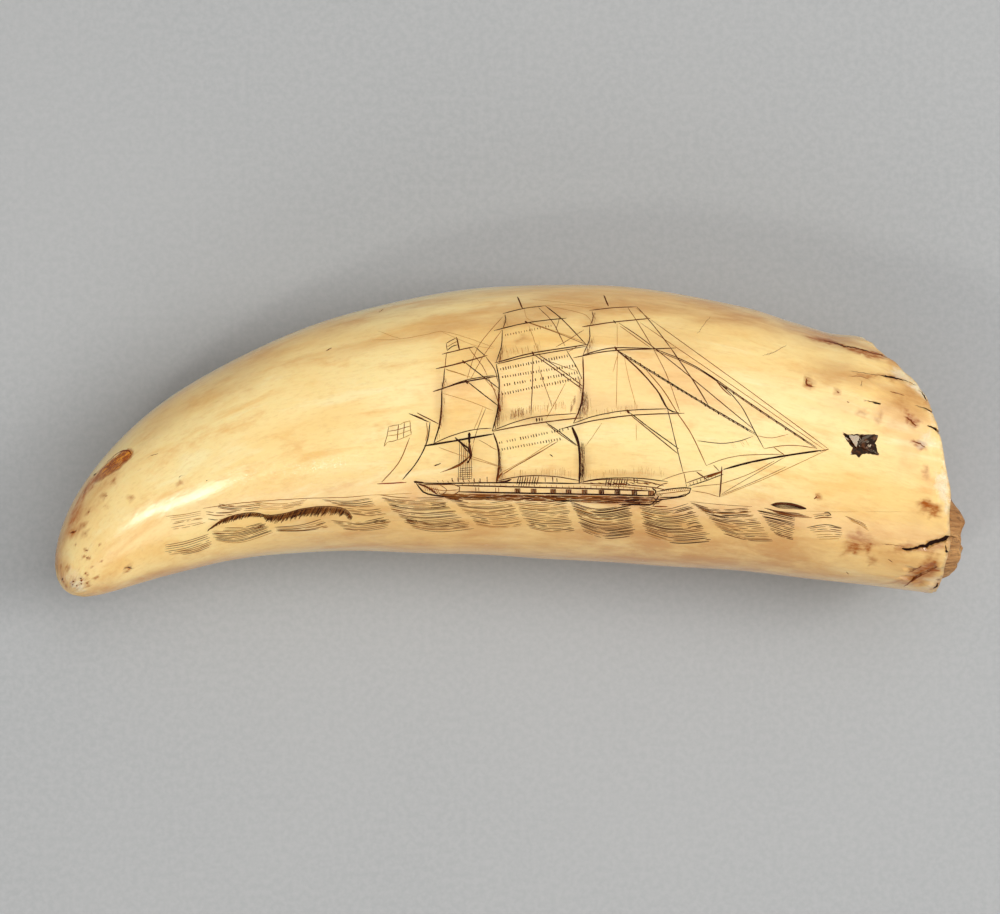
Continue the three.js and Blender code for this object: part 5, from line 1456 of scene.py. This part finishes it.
# the tan mask: the ivory's own tan patches, plus painted shade on the lower flank and the lower half all round
col = m.mix(m.math("MULTIPLY", m.attr("m_tan"), blotch), col, srgb(194, 134, 74))
col = m.mix(m.math("MULTIPLY", m.attr("m_soot"), 0.42), col, srgb(152, 98, 54))
col = m.mix(m.math("MULTIPLY", m.attr("m_wash"), m.ramp(fine, 0.3, 0.7, 0.45, 1.0)), col, srgb(190, 102, 20))
col = m.mix(m.math("MULTIPLY", m.attr("m_brown"), m.ramp(fine, 0.32, 0.62, 0.50, 1.0)), col, srgb(160, 82, 8))
vein = m.noise(m.scaled(st, (0.55, 2.6, 2.6), (4, 1, 9)), 1.0, 5, 0.68, 0.4)
stain_c = m.mix(m.ramp(vein, 0.40, 0.60), srgb(242, 156, 34), srgb(168, 76, 2))
speck = m.ramp(m.noise(m.scaled(st, (1.2, 3.4, 3.4)), 1.0, 3, 0.6), 0.52, 0.62)
stain_c = m.mix(m.math("MULTIPLY", speck, 0.6), stain_c, srgb(122, 46, 0))
col = m.mix(m.attr("m_red"), col, stain_c)
rim_red = m.math("MULTIPLY", m.attr("m_red"), m.math("SUBTRACT", 1.0, m.attr("m_red")))
col = m.mix(m.math("MULTIPLY", rim_red, 2.2, True), col, srgb(150, 70, 12))
col = m.mix(m.math("MULTIPLY", m.attr("m_smear"), 0.22), col, srgb(184, 128, 66))
col = m.mix(m.math("MULTIPLY", m.attr("m_groove"), 0.50), col, srgb(116, 66, 28))
col = m.mix(m.math("MULTIPLY", m.attr("m_pale"), m.ramp(fine, 0.25, 0.6, 0.4, 1.0)), col, srgb(246, 232, 198))
col = m.mix(m.math("MULTIPLY", m.attr("m_tip"), m.ramp(speck, 0.0, 1.0, 0.22, 0.6)), col, srgb(184, 122, 58))
col = m.mix(m.math("MULTIPLY", m.attr("m_crack"), 0.85), col, srgb(88, 44, 16))
col = m.mix(m.math("MULTIPLY", m.attr("m_pit"), 0.95), col, srgb(38, 15, 6))
# the broken end: layered, dry and chalky at the rim, browner into the hollow
lay_n = m.noise(m.scaled(st, (0.35, 0.5, 0.5)), 1.0, 6, 0.7)
endc = m.mix(m.ramp(lay_n, 0.35, 0.65), srgb(200, 148, 92), srgb(148, 96, 50))
endc = m.mix(m.ramp(m.noise(m.scaled(st, (1.6, 2.2, 2.2)), 1.0, 4, 0.7), 0.56, 0.72, 0.0, 0.75), endc, srgb(104, 60, 26))
split = m.math("ABSOLUTE", m.math("SUBTRACT", m.noise(m.scaled(st, (0.16, 0.55, 0.55), (2, 1, 6)), 1.0, 5, 0.62, 0.5), 0.5))
endc = m.mix(m.ramp(split, 0.024, 0.004, 0.0, 0.60), endc, srgb(74, 38, 14))
col = m.mix(m.math("MULTIPLY", m.attr("m_end"), 0.95), col, endc)
hol = m.mix(m.ramp(lay_n, 0.3, 0.7), srgb(170, 118, 70), srgb(108, 66, 34))
col = m.mix(m.attr("m_hollow"), col, hol)
rough = m.ramp(mott, 0.3, 0.75, 0.13, 0.24)
worn = m.math("MAXIMUM", m.math("MAXIMUM", m.attr("m_end"), m.attr("m_hollow")), m.math("MULTIPLY", m.attr("m_pale"), 0.8))
dry = m.math("MAXIMUM", worn, m.math("MULTIPLY", m.attr("m_brink"), 0.35))
rough = m.math("ADD", rough, m.math("MULTIPLY", dry, 0.38))
rough = m.math("ADD", rough, m.math("MULTIPLY", m.ramp(grain, 0.4, 0.7), 0.05))
bump = m.bump(grain, 0.10, 0.0001)
bump = m.bump(fine, 0.12, 0.0002, bump)
bump = m.bump(mott, 0.25, 0.0005, bump)
worn_h = m.math("MULTIPLY", m.noise(m.scaled(st, (1.8, 2.4, 2.4)), 1.0, 6, 0.7), dry)
bump = m.bump(worn_h, 0.8, 0.0005, bump)
coat_n = m.bump(m.noise(m.scaled(st, (2.6, 0.5, 0.5), (6, 3, 2)), 1.0, 3, 0.6), 0.30, 0.00012)
m.put(m.bsdf.inputs["Coat Normal"], m.bump(mott, 0.2, 0.0004, coat_n))
m.set(Base_Color=col, Roughness=rough, Normal=bump, Subsurface_Weight=0.14, Subsurface_Scale=0.002, IOR=1.5, Specular_IOR_Level=0.34, Coat_Weight=m.math("MULTIPLY", m.math("SUBTRACT", 1.0, dry, True), 0.45), Coat_Roughness=0.10)
m.bsdf.inputs["Subsurface Radius"].default_value = (1.0, 0.55, 0.28)
tm.materials.append(m.mat)

# ------------------------------------------------------------------ the pale sweep it lies on
bpy.ops.mesh.primitive_grid_add(x_subdivisions=2, y_subdivisions=2, size=6.0, location=(0, 0, 0))
floor = bpy.context.object
floor.name = "floor"
fm = Mat("pale_floor")
pos = fm.add("ShaderNodeTexCoord").outputs["Object"]
sep = fm.add("ShaderNodeSeparateXYZ"); fm.put(sep.inputs[0], pos)
fnoise = fm.noise(pos, 900, 4, 0.6)
cloud = fm.noise(pos, 9, 4, 0.6)
spots = fm.ramp(fm.noise(pos, 320, 5, 0.7), 0.66, 0.78)
spots = fm.math("MULTIPLY", spots, fm.ramp(fm.noise(pos, 22, 2), 0.52, 0.7))
c = fm.mix(fm.ramp(fnoise, 0.3, 0.7), srgb(166, 168, 169), srgb(174, 175, 176))
c = fm.mix(fm.math("MULTIPLY", fm.ramp(cloud, 0.35, 0.7), 0.25), c, srgb(180, 180, 180))
c = fm.mix(fm.math("MULTIPLY", spots, 0.25), c, srgb(130, 124, 116))
fm.set(Base_Color=c, Roughness=0.72, Normal=fm.bump(fnoise, 0.12, 0.0002), Specular_IOR_Level=0.2)
floor.data.materials.append(fm.mat)

# ------------------------------------------------------------------ soft studio light and the camera
world = bpy.data.worlds.new("studio")
bpy.context.scene.world = world
world.use_nodes = True
world.node_tree.nodes["Background"].inputs[0].default_value = (1.0, 1.0, 1.0, 1)
world.node_tree.nodes["Background"].inputs[1].default_value = 0.35


def softbox(name, at, aim, size, power, colour=(1, 1, 1)):
    d = bpy.data.lights.new(name, "AREA")
    d.shape, d.size, d.size_y, d.energy, d.color = "RECTANGLE", size[0], size[1], power, colour
    o = bpy.data.objects.new(name, d)
    o.location = at
    o.rotation_euler = (Vector(aim) - Vector(at)).to_track_quat("-Z", "Y").to_euler()
    COLL.objects.link(o)
    return o


softbox("overhead", (0.40, 0.45, 1.7), (0, 0, 0), (1.5, 1.5), 13.0, (1.0, 0.99, 0.97))
softbox("right", (1.3, 0.15, 1.15), (0, 0, 0), (0.7, 0.7), 14.0, (1.0, 0.99, 0.97))
softbox("front", (-0.1, -1.45, 1.15), (0, 0, 0), (1.4, 0.7), 5.2)
softbox("tip", (-0.470, -0.566, 1.013), (-0.059, -0.010, 0.03), (0.15, 0.17), 2.1, (1.0, 0.97, 0.90))

bpy.context.scene.view_settings.view_transform = "Standard"
cam = bpy.data.cameras.new("camera")
cam.sensor_width = 36.0
cam.sensor_fit = "HORIZONTAL"
cam.lens = 36.0 * (CAM_H - WIDE_Z) / (1000 * UNIT)
cam.clip_start, cam.clip_end = 0.01, 20
cam_ob = bpy.data.objects.new("camera", cam)
cam_ob.location = (CAM_XY[0] * MM, CAM_XY[1] * MM, CAM_H * MM)
COLL.objects.link(cam_ob)
bpy.context.scene.camera = cam_ob

for ob, slot in ((tooth_ob, "ivory"), (ink_ob, "pigment"), (dirt_ob, "pigment"), (res_ob, "residue")):
    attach(ob, "root")
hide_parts("tooth")
